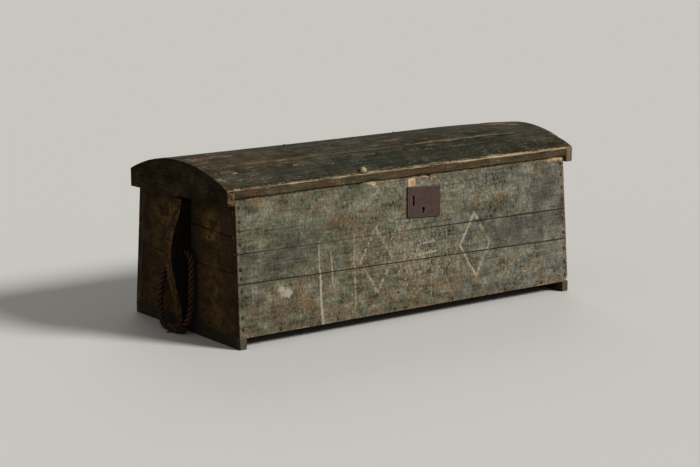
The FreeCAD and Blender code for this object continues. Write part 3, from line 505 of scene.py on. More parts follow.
def straight_board(node, axis, profile, pull, spacing, splits, end_radius, edge_radius,
                   arches=None):
    """A Board between the corners of a CAD node's two ends, along x (axis 0) or y (axis 1).

    profile gives the signs of an end's corners and pull how strongly they are sought across
    and up. The outer side is as fine as the spacing, if splits doesn't say. arches are the
    arches of its top and its underside, if it is curved.
    """
    low, high = np.array([
        [node_corner(node, np.insert(np.multiply(corner, pull), axis, end * END_PULL))
         for corner in profile] for end in (-1, 1)])
    width, top, foot = np.linalg.norm(low[3] - low[0]), 0, 0
    if arches:
        width = low[3][1] - low[0][1]
        top, foot = (radius - math.sqrt(radius ** 2 - (width / 2) ** 2) for _, radius in arches)
    splits = (*splits, round(width / spacing))[:4]

    def corners(share):
        return low + share[:, None, None] * (high - low)
    return Board(node, corners, (high - low)[0, axis], spacing, splits, end_radius,
                 edge_radius, (0, -foot, 0, top))


def dent(obj, depth, size, seed, weight=1.0):
    """Sinks the surface inwards by up to depth in smooth hollows."""
    points = positions(obj.data)
    hollow = depth * (0.5 + 0.5 * lumps(points, size, seed)) * weight
    set_positions(obj.data, points - normals(obj.data) * np.reshape(hollow, (-1, 1)))


def stand_for(obj, node):
    """obj rides with the CAD node's body and takes its place."""
    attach(obj, frame["nodes"][node]["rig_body"])
    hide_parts(node)


# ---------------------------------------------------------------- materials
BUMP_DISTANCE = 0.0012         # metres that a bump stands for
BARE_OVER = 0.32               # of wear, from the first bare wood to all bare
THIN_SHARES = (1.7, 0.12, 0.8, 0.4)   # of breakup, where the paint is only rubbed thin


def add(tree, kind, inputs=(), **settings):
    """Adds a node with its settings.

    inputs maps a socket's name or number to a value, a node, or the name of a mask.
    """
    made = tree.nodes.new(kind)
    for name, value in settings.items():
        setattr(made, name, value)
    for key, value in dict(inputs).items():
        if isinstance(value, str) and made.inputs[key].type != "STRING":
            value = add(tree, "ShaderNodeAttribute", attribute_name=value).outputs["Fac"]
        if isinstance(value, bpy.types.Node):
            value = next(s for s in value.outputs if s.enabled and not s.is_unavailable)
        if isinstance(value, bpy.types.NodeSocket):
            tree.links.new(value, made.inputs[key])
        else:
            made.inputs[key].default_value = value
    return made


def new_tree(owner):
    """The emptied node tree of a new material or world."""
    owner.use_nodes = True
    owner.node_tree.nodes.clear()
    return owner.node_tree


def on_object(name):
    """A new material's tree, and the object's coordinates in it."""
    tree = new_tree(bpy.data.materials.new(name))
    return tree, add(tree, "ShaderNodeTexCoord").outputs["Object"]


def pattern(tree, coords, size, detail, roughness, shift):
    """Noise from 0 to 1, its lumps about size apart: millimetres, one number or three."""
    scale = (1000 / np.broadcast_to(size, 3)).tolist()
    place = add(tree, "ShaderNodeMapping", {"Vector": coords, "Scale": scale,
                                            "Location": (shift, shift * 0.7, shift * 1.3)})
    return add(tree, "ShaderNodeTexNoise", {"Vector": place, "Scale": 1.0, "Detail": detail,
                                            "Roughness": roughness})


def weighted(tree, start, *terms):
    """start plus each pattern or mask times its weight."""
    total = start
    for value, weight in terms:
        total = add(tree, "ShaderNodeMath", {0: value, 1: weight, 2: total},
                    operation="MULTIPLY_ADD")
    return total


def lay(tree, under, over, share, *rise, top=1.0):
    """The colour over laid on under by share.

    With rise, its two numbers are where share begins to count and where it counts for top.
    """
    if rise:
        share = add(tree, "ShaderNodeMapRange", {
            "Value": share, "From Min": rise[0], "From Max": rise[1], "To Max": top},
            interpolation_type="SMOOTHSTEP")
    return add(tree, "ShaderNodeMix", {0: share, 6: under, 7: over}, data_type="RGBA")


def shade(tree, colour, start, *terms):
    """The colour made lighter or darker by start plus each pattern times its weight."""
    return add(tree, "ShaderNodeHueSaturation", {"Value": weighted(tree, start, *terms),
                                                 "Color": colour})


def surface(tree, colour, strength, relief, sockets, distance=BUMP_DISTANCE):
    """The finished surface. relief lists the patterns of its bump with their weights."""
    bump = add(tree, "ShaderNodeBump", {"Height": weighted(tree, 0.0, *relief),
                                        "Strength": strength, "Distance": distance})
    shader = add(tree, "ShaderNodeBsdfPrincipled", {"Base Color": colour, "Normal": bump,
                                                    **sockets})
    add(tree, "ShaderNodeOutputMaterial", {"Surface": shader})


def painted_wood(colours, name, paints, grain, scuff, seed, bare_from,
                 breakup=(1.1, 1.0, 0.9, 0.5), tones=(1.7, 1.7, 1.3, 1.3), flecks=0.7,
                 faded=None, wood=None, grime=None):
    """Old lead paint on pine, rubbed through to the wood where the wear mask is high.

    Dry and almost without gloss. The paint is blotched and streaked along the scuff direction;
    rubbed thin it turns brown, and bare wood shows its rings along the grain. breakup says how
    ragged the wear is and tones how much the colour varies, both by blotch, speck, scuff and
    ring. faded is the colour that the fade mask brings, the second paint if none is given.
    Sizes are in millimetres.
    """
    tree, coords = on_object(name)
    # The rings of pine are 3 to 4 mm apart. Brush marks and specks of about 1 mm are drawn
    # 2 to 7 mm wide, because finer ones would not show.
    broad = pattern(tree, coords, (150, 150, 80), 3, 0.5, seed)
    blotch = pattern(tree, coords, (30, 30, 24), 5, 0.62, seed + 3)
    cloud = pattern(tree, coords, (44, 44, 36), 5, 0.62, seed + 17)
    speck = pattern(tree, coords, 6.5, 4, 0.72, seed + 5)
    scuffed = pattern(tree, coords, scuff, 4, 0.6, seed + 7)
    rings = pattern(tree, coords, grain, 4, 0.6, seed + 11)
    scratch = pattern(tree, coords, 0.7 * np.array(scuff), 4, 0.65, seed + 13)
    spread = (blotch, speck, scuffed, rings)
    pale = colours.pale_paint

    paint = lay(tree, paints[0], paints[1],
                weighted(tree, 0.0, (broad, 0.7), (blotch, 0.3)), 0.43, 0.57)
    paint = lay(tree, paint, faded or paints[1], "fade")
    thin = [weight * share for weight, share in zip(breakup, THIN_SHARES)]
    ragged, thinned = (
        weighted(tree, -0.5 * sum(weights), ("wear", 1.0), *zip(spread, weights))
        for weights in (breakup, thin))
    paint = lay(tree, paint, paints[2], thinned, 0.0, 0.36, top=0.85)
    paint = shade(tree, paint, 1 - 0.5 * sum(tones), *zip((cloud, *spread[1:]), tones))

    timber = lay(tree, *(wood or (colours.bare_light, colours.bare_dark)), rings, 0.36, 0.64)
    timber = shade(tree, timber, 0.1, (speck, 1.1), (blotch, 0.7))
    timber = lay(tree, timber, linear("#ac9070"), ragged, 0.95, 1.45, top=0.85)
    timber = lay(tree, timber, linear("#c9a982"), ragged, 1.45, 1.95)
    bare = add(tree, "ShaderNodeMapRange", {"Value": ragged, "From Min": bare_from,
                                            "From Max": bare_from + BARE_OVER},
               interpolation_type="SMOOTHSTEP")
    colour = lay(tree, paint, timber, bare)

    # Pale flecks and marks, dark flecks, dirt with some painted shade, and rust with a painted
    # shadow line on the lid's edge: where each begins, is full, and how full.
    for over, low, high, top, start, terms in (
            (pale, 0.53, 0.63, flecks, 0.0, ((scratch, 0.42), (speck, 0.34), (cloud, 0.24))),
            (pale, 0.22, 0.95, 0.95, -1.55,
             (("pale", 1.0), (speck, 1.8), (scuffed, 0.8), (blotch, 0.5))),
            (linear("#1f1b15"), 0.42, 0.32, 0.5, 0.0, ((speck, 0.6), (scuffed, 0.4))),
            (grime or colours.grime, 0.0, 1.0, 0.85, -0.55,
             (("grime", 1.0), (blotch, 0.7), (scuffed, 0.4))),
            (linear("#21160f"), 0.2, 0.8, 0.95, -0.4, (("rust", 1.0), (speck, 0.8)))):
        colour = lay(tree, colour, over, weighted(tree, start, *terms), low, high, top=top)
    surface(tree, colour, 0.55, ((rings, 0.55), (speck, 0.30), (scuffed, 0.25), (bare, -0.35)),
            {"Roughness": weighted(tree, 0.70, (speck, 0.16), (bare, 0.10)),
             "Specular IOR Level": 0.05})


def bare_wood(name, light, dark, grain, seed):
    """Unpainted pine, brown with age, as on the inside of the box: dull, with fine rings."""
    tree, coords = on_object(name)
    rings = pattern(tree, coords, grain, 5, 0.62, seed)
    broad = pattern(tree, coords, (120, 120, 60), 3, 0.5, seed + 4)
    # The wood's pores and fibres, drawn 4 mm wide so that they show.
    fine = pattern(tree, coords, 4, 4, 0.6, seed + 6)
    timber = lay(tree, linear(dark), linear(light), rings, 0.34, 0.66)
    timber = shade(tree, timber, 0.55, (broad, 0.5), (fine, 0.4))
    colour = lay(tree, timber, linear("#2b2620"), "grime", 0.1, 1.0, top=0.8)
    surface(tree, colour, 0.5, ((rings, 0.7), (fine, 0.3)),
            {"Roughness": 0.82, "Specular IOR Level": 0.12})


def rusted_iron(name, base, seed):
    """Hand-forged wrought iron under old red-brown rust: dull, pitted, rubbed dark on edges."""
    tree, coords = on_object(name)
    broad = pattern(tree, coords, 24, 4, 0.6, seed)
    pits = pattern(tree, coords, 2.6, 5, 0.65, seed + 2)
    red = pattern(tree, coords, 20, 4, 0.6, seed + 9)
    rust = lay(tree, base, linear("#3b2a21"), broad, 0.40, 0.60)
    rust = lay(tree, rust, linear("#5a3629"), red, 0.48, 0.66, top=0.45)
    rust = shade(tree, rust, -0.1, (pits, 1.5), (broad, 0.7))
    rubbed = weighted(tree, 0.0, ("wear", 1.0), (pits, 0.5))
    colour = lay(tree, rust, linear("#6e564a"), rubbed, 0.75, 1.4, top=0.5)
    surface(tree, colour, 0.6, ((pits, 0.7), (broad, 0.5)),
            {"Metallic": 0.15, "Roughness": 0.80})


def tarred_hemp(name, base):
    """Old tarred hemp: dull red-brown, fibres and yarns running along each strand's map."""
    tree, coords = on_object(name)
    # Yarns of 2 mm and the finer fibres would not show, so both are drawn wider than life.
    along = add(tree, "ShaderNodeTexCoord").outputs["UV"]
    yarns = add(tree, "ShaderNodeMapping", {"Vector": along, "Rotation": (0, 0, 0.5),
                                            "Scale": (6.0, 300.0, 1.0)})
    yarns = add(tree, "ShaderNodeTexNoise", {"Vector": yarns, "Scale": 1.0, "Detail": 3.0})
    broad = pattern(tree, coords, 40, 3, 0.5, 2.0)
    fibres = pattern(tree, coords, 1.6, 3, 0.6, 5.0)
    colour = lay(tree, base, linear("#583b2a"), broad, 0.35, 0.7)
    colour = shade(tree, colour, 0.25, (yarns, 1.1), (fibres, 0.9))
    # Near black where a strand lies deep among the others: painted shade in the rope's grooves.
    colour = lay(tree, linear("#150d0a"), colour, "outermost", 0.70, 1.0)
    surface(tree, colour, 0.8, ((yarns, 0.8), (fibres, 0.5)),
            {"Roughness": 0.85, "Specular IOR Level": 0.2}, distance=0.001)


def seen_apart(tree, kind, seen, felt):
    """A node of that kind as the camera sees it, and another for the light that it gives."""
    to_camera = add(tree, "ShaderNodeLightPath").outputs["Is Camera Ray"]
    return add(tree, "ShaderNodeMixShader", {0: to_camera, 1: add(tree, kind, felt),
                                             2: add(tree, kind, seen)})


def studio_floor(name, base):
    """Smooth pale floor, matt and plain. It throws less light back than it shows."""
    tree = new_tree(bpy.data.materials.new(name))
    shader = seen_apart(tree, "ShaderNodeBsdfDiffuse", {"Color": base},
                        {"Color": linear("#8a8986")})
    add(tree, "ShaderNodeOutputMaterial", {"Surface": shader})


def make_materials(c):
    """Makes every material from the colours c."""
    along_x, along_y, along_z = (130, 3.2, 3.2), (3.2, 130, 3.2), (3.2, 3.2, 130)
    # The front and the back: thin brushed paint, chalky and mottled grey-green over brown.
    painted_wood(c, "worn_green_paint_on_pine", (c.front_green, linear("#666353"), c.front_brown),
                 (90, 4.0, 4.0), (5.0, 5.0, 15), 1.0, 0.38, (1.6, 0.85, 0.7, 0.4),
                 (2.6, 1.9, 1.7, 1.8), 0.70, c.front_grey)
    # The lid: dark paint, streaked along the grain, with the rings showing through it.
    painted_wood(c, "dark_green_paint_on_pine", (c.lid_green, c.lid_grey, c.lid_brown),
                 (190, 4.0, 4.0), (95, 6.0, 6.0), 21.0, 0.30, (1.1, 0.5, 1.4, 1.3),
                 (2.2, 1.4, 2.4, 2.2), 0.26, linear("#40391f"))
    # The lid's front edge: brown from handling, with little of its paint left.
    painted_wood(c, "lid_edge_paint_on_pine", (c.edge_brown, linear("#48412d"), c.edge_brown),
                 along_x, (40, 4.0, 4.0), 27.0, 0.60, (0.5, 0.4, 0.9, 0.8),
                 (0.8, 1.0, 1.6, 1.8), 0.3)
    # The ends: warm dark olive, streaked upright and rubbed to ochre.
    painted_wood(c, "olive_paint_on_pine", (c.end_olive, c.end_brown, c.end_brown), along_y,
                 (3.0, 3.0, 60), 41.0, 0.48, flecks=0.12, faded=linear("#785f35"))
    # The lid's cleats: the same paint, darker with dirt, streaked along the cleat.
    painted_wood(c, "olive_paint_on_cleat", (linear("#423722"), linear("#33291a"), c.end_brown),
                 along_y, (3.0, 40, 3.0), 45.0, 0.48, tones=(2.4, 1.6, 1.8, 1.6), flecks=0.10,
                 grime=linear("#1a160f"))
    # The handle blocks: the same paint, worn to yellow-brown wood; their near-black grime colour
    # paints shade on every side that does not face outwards.
    painted_wood(c, "olive_paint_on_batten", (c.end_olive, c.end_olive, c.end_brown), along_z,
                 (3.0, 3.0, 60), 51.0, 0.40, flecks=0.2,
                 wood=(linear("#86693c"), linear("#5a4528")), grime=linear("#120e0b"))
    # Without paint: brown pine inside, pale filler in the lid's edge, grey wood near the floor.
    bare_wood("aged_pine_lengthwise", "#7f664a", "#5c4733", along_x, 61.0)
    bare_wood("aged_pine_crosswise", "#7c6449", "#574432", along_y, 67.0)
    bare_wood("cream_filler", "#bfb18d", "#918466", 5, 75.0)
    bare_wood("grey_runner_wood", "#5f5748", "#40392e", along_y, 71.0)
    rusted_iron("rusted_wrought_iron", c.iron, 81.0)
    tarred_hemp("tarred_hemp", c.hemp)
    studio_floor("pale_studio_floor", c.floor)


# ---------------------------------------------------------------- nails
WIDEST = 0.98                  # of a nail's radius: where its head is
NAIL_STUB = 0.004              # metres of shank under a visible head
HEAD_SIDES, SHANK_SIDES = 9, 6
FLAT_SHARE, SHANK_SHARE = 0.5, 0.45   # of the head's radius: its flat top, and the shank
HEAD_SIZES = (0.86, 1.12)      # the smallest and the largest, beside the head's own size


def node_islands(node):
    """The points of each separate solid in a CAD node, in the mesh's own order."""
    joined = shape_of(node)
    joined.verts.index_update()
    found, seen = [], set()
    for first in joined.verts:
        if first.index in seen:
            continue
        seen.add(first.index)
        front, island = [first], []
        while front:
            vert = front.pop()
            island.append(tuple(vert.co))
            for edge in vert.link_edges:
                other = edge.other_vert(vert)
                if other.index not in seen:
                    seen.add(other.index)
                    front.append(other)
        found.append(np.array(island))
    joined.free()
    return found


def lid_sunk(x, y):
    """How far the lid's top has worn down at x and y, in millimetres: most at its right end."""
    middle_x, middle_y, reach_x, reach_y, depth = SUNK_RIGHT
    right = depth * np.exp(-((x - middle_x) / reach_x) ** 2 - ((y - middle_y) / reach_y) ** 2)
    from_x, over, middle_y, reach_y, depth = SUNK_BACK
    back = depth * np.exp(-((y - middle_y) / reach_y) ** 2)
    return right + back * np.clip((x - from_x) / over, 0, 1)


def nail_heads(node):
    """The middle of each head's underside and the way that it faces."""
    heads = []
    for points in node_islands(node):
        middle = points.mean(axis=0)
        axis = np.linalg.svd(points - middle)[2][0]
        along = (points - middle) @ axis
        across = np.linalg.norm(points - middle - np.outer(along, axis), axis=1)
        if along[across.argmax()] < 0:
            axis, along = -axis, -along
        wide = across > across.max() * WIDEST
        place = middle + axis * along[wide].mean()
        if node == "lid_nails":
            place[2] -= lid_sunk(place[0] / MM, place[1] / MM) * MM
        heads.append((place, axis))
    return heads


def nail_tree():
    """Forged nail heads on points: each is a low many-sided cone, turned and sized at random."""
    tree = bpy.data.node_groups.new("forged_nails", "GeometryNodeTree")
    for title, kind in (("Geometry", "Geometry"), ("Head Radius", "Float"),
                        ("Head Rise", "Float"), ("Stub", "Float"), ("Seed", "Int"),
                        ("Material", "Material")):
        tree.interface.new_socket(title, in_out="INPUT", socket_type="NodeSocket" + kind)
    tree.interface.new_socket("Geometry", in_out="OUTPUT", socket_type="NodeSocketGeometry")
    given = add(tree, "NodeGroupInput").outputs
    flat, thin, below = (
        add(tree, "ShaderNodeMath", {0: given[title], 1: share}, operation="MULTIPLY")
        for title, share in (
            ("Head Radius", FLAT_SHARE), ("Head Radius", SHANK_SHARE), ("Stub", -1.0)))
    head = add(tree, "GeometryNodeMeshCone", {
        "Vertices": HEAD_SIDES, "Side Segments": 2, "Radius Top": flat,
        "Radius Bottom": given["Head Radius"], "Depth": given["Head Rise"]})
    shank = add(tree, "GeometryNodeMeshCone", {
        "Vertices": SHANK_SIDES, "Radius Top": thin, "Radius Bottom": thin,
        "Depth": given["Stub"]})
    down = add(tree, "ShaderNodeCombineXYZ", {"Z": below})
    shank = add(tree, "GeometryNodeTransform", {"Geometry": shank, "Translation": down})
    nail = add(tree, "GeometryNodeJoinGeometry", {0: head})
    tree.links.new(shank.outputs["Geometry"], nail.inputs[0])

    spin, grow = (
        add(tree, "FunctionNodeRandomValue", {2: least, 3: most, "Seed": given["Seed"]},
            data_type="FLOAT") for least, most in ((0.0, math.tau), HEAD_SIZES))
    facing = add(tree, "GeometryNodeInputNamedAttribute", {"Name": "facing"},
                 data_type="FLOAT_VECTOR")
    upright = add(tree, "FunctionNodeAlignRotationToVector", {"Vector": facing}, axis="Z")
    turn = add(tree, "ShaderNodeCombineXYZ", {"Z": spin})
    spun = add(tree, "FunctionNodeRotateRotation", {"Rotation": upright, "Rotate By": turn},
               rotation_space="LOCAL")
    nails = add(tree, "GeometryNodeInstanceOnPoints", {
        "Points": given["Geometry"], "Instance": nail, "Rotation": spun, "Scale": grow})
    nails = add(tree, "GeometryNodeRealizeInstances", {"Geometry": nails})
    nails = add(tree, "GeometryNodeSetMaterial", {"Geometry": nails,
                                                  "Material": given["Material"]})
    add(tree, "NodeGroupOutput", {"Geometry": nails})
    return tree


def plain_mesh(obj, name):
    """The evaluated object as a plain mesh object; obj is removed."""
    mesh = evaluated(obj)
    mesh.name = name
    bpy.data.objects.remove(obj)
    return link(bpy.data.objects.new(name, mesh))


def forge_nails(node, tree, sizes, seed):
    """Nail heads in place of a node of nails."""
    heads = nail_heads(node)
    obj = new_object(node + "_points", np.array([place for place, _ in heads]), [], ())
    layer = obj.data.attributes.new("facing", "FLOAT_VECTOR", "POINT")
    layer.data.foreach_set("vector", np.array([way for _, way in heads], np.float32).ravel())
    modifier = obj.modifiers.new("nails", "NODES")
    modifier.node_group = tree
    given = {"Head Radius": sizes.nail_head, "Head Rise": sizes.nail_rise, "Stub": NAIL_STUB,
             "Seed": seed, "Material": bpy.data.materials["rusted_wrought_iron"]}
    for item in tree.interface.items_tree:
        if item.name in given:
            modifier[item.identifier] = given[item.name]
    stand_for(plain_mesh(obj, node.replace("_nails", "_nail_heads")), node)


def rust_round(points, heads, reach, run):
    """Rust round nail heads and below them, as a mask over the points. Millimetres."""
    total = np.zeros(len(points))
    for place, _ in heads:
        off = (points - place) / MM
        low = np.where(off[:, 2] < 0, run, reach)
        spread = (off[:, 0] ** 2 + off[:, 1] ** 2) / reach ** 2 + (off[:, 2] / low) ** 2
        total = np.maximum(total, np.exp(-spread))
    return total


# ---------------------------------------------------------------- walls
BOTH_EDGES = (1, 0, 0, 1)      # the outer face's lower and upper edges
NOTCH_PLAY = 0.0006            # metres beside a hinge strap in its notch
CUT_PAST = 0.01                # metres that a cutter reaches past the wood
POCKET_GROWTH = 1.02           # the lock case's pocket beside the case
POCKET_SHIFT = -0.0006         # metres along y


def side_board(node, side, grid, sizes, seed, chips=()):
    """A front or back board with its outer face painted, and its surface points."""
    worn = sizes.joint_wear
    board = straight_board(
        node, 0, STANDING, (side, 3), grid, (3, 8, 3), sizes.corner_wear,
        wavering(0.3 * worn, 0.6 * worn * np.array(BOTH_EDGES), 28, seed, chips))
    return board, board.build(("worn_green_paint_on_pine", "aged_pine_lengthwise",
                               "olive_paint_on_pine"), caps=2)


def front_board(n, layer, sizes, heads):
    """Grey-green paint over pine: rubbed, scratched and marked, with rust round the nails."""
    node = "front_board_" + layer
    board, points = side_board(node, -1, sizes.front_grid, sizes, 100 + 10 * n,
                               placed(FRONT_CHIPS, node) if layer == "upper" else ())
    x, _, z = points.T / MM
    wobble = 6 * lumps(points, 22, 5) + 4 * lumps(points, 8, 6)
    edges = (0.62 if layer == "lower" else 0.05, 0, 0, 0.55 if layer == "upper" else 0.05)
    wear = board.edge_wear(edges, 4.0, 0.35) * np.clip(0.7 + 1.1 * lumps(points, 24, 8), 0, 2)
    wear += (patches(x, z, FRONT_BARE, wobble) * (1 + 0.8 * lumps(points, 5, 41))
             + patches(x, z, FRONT_THIN, wobble))
    ghost_x, ghost_z, half_x, half_z = HASP_GHOST
    wear += (1.9 + 0.7 * lumps(points, (3.4, 9, 16), 42)) * (
        (np.abs(x - ghost_x) < half_x) & (np.abs(z - ghost_z) < half_z))
    filled = 1 - 0.85 * np.exp(-((x - PAINTED_OVER[0]) / PAINTED_OVER[1]) ** 4)
    crack = 1.3 * ((filled if layer == "upper" else 1.0)
                   * board.edge_wear((layer != "lower", 0, 0, 0), 0.8)
                   + (filled if layer == "middle" else 1.0)
                   * board.edge_wear((0, 0, 0, layer != "upper"), 0.8))
    marks = strokes(x + 0.25 * wobble, z, FRONT_STROKES + tuple(plain_marks()))
    stain = rust_round(points, heads, 4.2, 8.0) + patches(x, z, FRONT_HOLES, 0.0)
    set_masks(board.obj, wear=wear, fade=0.7 * np.clip((x - FADED[0]) / FADED[1], 0, 1),
              grime=patches(x, z, FRONT_GRIME, wobble) + crack,
              pale=np.maximum(patches(x, z, FRONT_PALE, wobble * 0.6), marks) * board.outside,
              rust=np.maximum(crack, stain * board.outside))
    dent(board.obj, sizes.warp, (90, 90, 60), RNG_SEED, board.outside)
    dent(board.obj, 0.35 * sizes.warp, (14, 14, 9), RNG_SEED + 1, board.outside)
    if layer == "upper":
        lock_pocket(board.obj)
    if layer == "lower":
        low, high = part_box(node)
        round_corner(board.obj, 0, high[0] / MM, low[2] / MM, ROUNDED_CORNER)
    stand_for(board.obj, node)


def back_board(n, layer, sizes, heads):
    """The same paint, less worn, with notches for the hinge straps in the top board."""
    node = "back_board_" + layer
    board, points = side_board(node, 1, sizes.board_grid, sizes, 200 + 10 * n)
    set_masks(board.obj,
              wear=board.edge_wear((0.35, 0, 0, 0.35), 4.0, 0.6)
              + 0.25 * lumps(points, (120, 120, 60), 9),
              grime=0.35 + 0.3 * lumps(points, (160, 160, 70), 12),
              rust=rust_round(points, heads, 5.0, 14.0) * board.outside)
    dent(board.obj, sizes.warp * 0.6, (90, 90, 60), RNG_SEED + 4, board.outside)
    if layer == "upper":
        hinge_notches(board.obj, node)
    stand_for(board.obj, node)


def end_board(n, layer, end, side, sizes, heads):
    """Dark olive paint, rubbed to ochre in patches, dirty and with a painted shadow behind the
    handle block.
    """
    node = f"{end}_end_board_{layer}"
    worn = sizes.joint_wear
    board = straight_board(
        node, 1, STANDING, (side, 3), sizes.end_grid, (3, 8, 3), worn,
        wavering(0.5 * worn, 1.1 * worn * np.array(BOTH_EDGES), 24, 300 + 10 * n + side))
    points = board.build(("olive_paint_on_pine", "aged_pine_crosswise"))
    _, y, z = points.T / MM
    across = -side * y
    wobble = 6 * lumps(points, 24, 15) + 3 * lumps(points, 8, 16)
    ochre = patches(across, z, END_OCHRE, 0.6 * wobble) * board.outside
    wear = board.edge_wear((0.10, 0, 0, 0.10), 4.0, 0.15)
    # Behind the handle block the end is darkened by dirt and by a painted shadow of the block.
    block_y, reach, block_top, strength = BLOCK_DIRT_AND_SHADOW
    dirt_and_shadow_behind_block = strength * np.exp(-((y - block_y) / reach) ** 2) * (z < block_top)
    crack = board.edge_wear(BOTH_EDGES, 1.2, 0.4) * np.clip(
        1.3 + 1.2 * lumps(points, (30, 45, 30), 17), 0.6, 2.4)
    stain = rust_round(points, heads, 5.0, 11.0) + patches(across, z, END_HOLES, 0.0)
    set_masks(board.obj, fade=np.minimum(ochre, 1),
              wear=wear + patches(across, z, END_BARE, wobble),
              grime=patches(across, z, END_GRIME, wobble) + dirt_and_shadow_behind_block + crack,
              rust=np.maximum(crack, stain * board.outside))
    dent(board.obj, sizes.warp, (60, 90, 60), RNG_SEED + 7 + side, board.outside)
    if node == "right_end_board_lower":
        low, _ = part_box(node)
        round_corner(board.obj, 1, low[1] / MM, low[2] / MM, 0.8 * ROUNDED_CORNER)
    stand_for(board.obj, node)


def runner(end, side, sizes):
    """A bare grey runner under an end, darker all over but on its inner side and towards its
    ends.
    """
    node = end + "_runner"
    worn = sizes.corner_wear
    board = straight_board(node, 1, STANDING, (side, 3), sizes.board_grid, (4, 4, 4, 5), worn,
                           wavering(0.5 * worn, (worn, 0, 0, 0), 20, 350 + side))
    board.build(("grey_runner_wood", "grey_runner_wood"))
    grime = 0.8 * (board.sides != 1) * np.minimum(board.to_end / 0.02, 1)[:, None]
    set_masks(board.obj, grime=grime.ravel())
    stand_for(board.obj, node)


def bottom_plank(n, place, sizes):
    """An unpainted plank of the bottom."""
    node = "bottom_plank_" + place
    board = straight_board(node, 0, LYING, (1, 3), 2 * sizes.board_grid, (3, 12, 3, 16),
                           sizes.joint_wear, wavering(sizes.joint_wear, 0, 40, 400 + n))
    points = board.build(("aged_pine_lengthwise", "aged_pine_lengthwise"))
    set_masks(board.obj, grime=0.25 + 0.25 * lumps(points, (90, 60, 60), 8))
    stand_for(board.obj, node)


def round_corner(obj, axis, corner, corner_z, radius):
    """Wears a lower corner of a board round, at corner along x (axis 0) or y (axis 1). mm."""
    points = positions(obj.data)
    side = np.sign(corner)
    along = (points[:, axis] / MM * side) - (abs(corner) - radius)
    down = (corner_z + radius) - points[:, 2] / MM
    away = np.hypot(along, down)
    outside = (along > 0) & (down > 0) & (away > radius)
    pull = np.where(outside, radius / np.maximum(away, radius), 1.0)
    points[:, axis] = np.where(outside, side * (abs(corner) - radius + along * pull) * MM,
                               points[:, axis])
    points[:, 2] = np.where(outside, (corner_z + radius - down * pull) * MM, points[:, 2])
    set_positions(obj.data, points)


def carve(obj, cutter):
    """Cuts a closed bmesh out of obj. The new faces take obj's second material."""
    mesh = mesh_from(cutter, "cutter")
    for material in obj.data.materials:
        mesh.materials.append(material)
    mesh.polygons.foreach_set("material_index", np.ones(len(mesh.polygons), np.int32))
    tool = link(bpy.data.objects.new("cutter", mesh))
    cut = obj.modifiers.new("cut", "BOOLEAN")
    cut.object, cut.operation, cut.solver = tool, "DIFFERENCE", "EXACT"
    result = evaluated(obj)
    obj.modifiers.clear()
    obj.data = result
    bpy.data.objects.remove(tool)


def hinge_notches(obj, node):
    """The notches in the top of the back that the hinge straps lie in."""
    board_low, board_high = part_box(node)
    points = positions(frame["nodes"][node].data)
    for end, _ in ENDS:
        low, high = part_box(end + "_hinge_strap")
        notch = (points[:, 0] > low[0]) & (points[:, 0] < high[0])
        notch &= points[:, 2] > (board_low[2] + board_high[2]) / 2
        low = Vector((low[0] - NOTCH_PLAY, board_low[1] - CUT_PAST, points[notch, 2].min()))
        high = Vector((high[0] + NOTCH_PLAY, board_high[1] + CUT_PAST,
                       board_high[2] + CUT_PAST))
        cutter = bmesh.new()
        bmesh.ops.create_cube(cutter, size=1.0)
        bmesh.ops.scale(cutter, vec=high - low, verts=cutter.verts)
        bmesh.ops.translate(cutter, vec=(low + high) / 2, verts=cutter.verts)
        carve(obj, cutter)


def lock_pocket(obj):
    """The pocket that the lock's case sits in, a little larger than the case."""
    cutter = bmesh.new()
    cutter.from_mesh(frame["nodes"]["lock_case"].data)
    hull = bmesh.ops.convex_hull(cutter, input=cutter.verts)
    loose = [v for v in cutter.verts if not v.link_faces] + list(hull["geom_interior"])
    bmesh.ops.delete(cutter, geom=list({g for g in loose if isinstance(g, bmesh.types.BMVert)}),
                     context="VERTS")
    middle = sum((v.co for v in cutter.verts), Vector()) / len(cutter.verts)
    bmesh.ops.transform(
        cutter, matrix=Matrix.Translation(middle + Vector((0, POCKET_SHIFT, 0)))
        @ Matrix.Scale(POCKET_GROWTH, 4) @ Matrix.Translation(-middle), verts=cutter.verts)
    carve(obj, cutter)


class SeaChestWalls(bpy.types.Operator):
    """Builds the front, the back, the two ends, the bottom and the runners"""
    bl_idname = "sea_chest.walls"
    bl_label = "Walls, bottom and runners"

    def execute(self, context):
        sizes = context.scene.sea_chest_sizes
        front_heads = nail_heads("front_nails") + nail_heads("lock_plate_nails")
        back_heads = nail_heads("back_nails")
        for n, layer in enumerate(LAYERS):
            front_board(n, layer, sizes, front_heads)
        for n, layer in enumerate(LAYERS):
            back_board(n, layer, sizes, back_heads)
        for end, side in ENDS:
            heads = nail_heads(end + "_handle_nails")
            for n, layer in enumerate(LAYERS):
                end_board(n, layer, end, side, sizes, heads)
            runner(end, side, sizes)
        for n, place in enumerate(("front", "middle", "back")):
            bottom_plank(n, place, sizes)
        return {"FINISHED"}


# ---------------------------------------------------------------- lid
CLEAT_FRONT = 0.006            # metres of the right cleat's front end that is rubbed bare
CLEAT_TOP = 0.016              # metres under a cleat's arched top that wear with the lid


def lid_arch(up):
    """The circle of the planks' tops (up 1) or undersides (up -1): centre and radius in y, z."""
    a, b, c = (node_corner(plank, (4, 3 * y_side, up))[1:] for plank, y_side in (
        ("lid_plank_front", -1), ("lid_plank_front_middle", 1), ("lid_plank_back", 1)))
    rows = np.array([b - a, c - a])
    centre = np.linalg.solve(2 * rows, (rows * (np.array([b, c]) + a)).sum(axis=1))
    return centre, np.linalg.norm(centre - a)


def arch_height(arch, y):
    """How high an arch stands at y, in metres."""
    centre, radius = arch
    return centre[1] + np.sqrt(radius ** 2 - (y - centre[0]) ** 2)


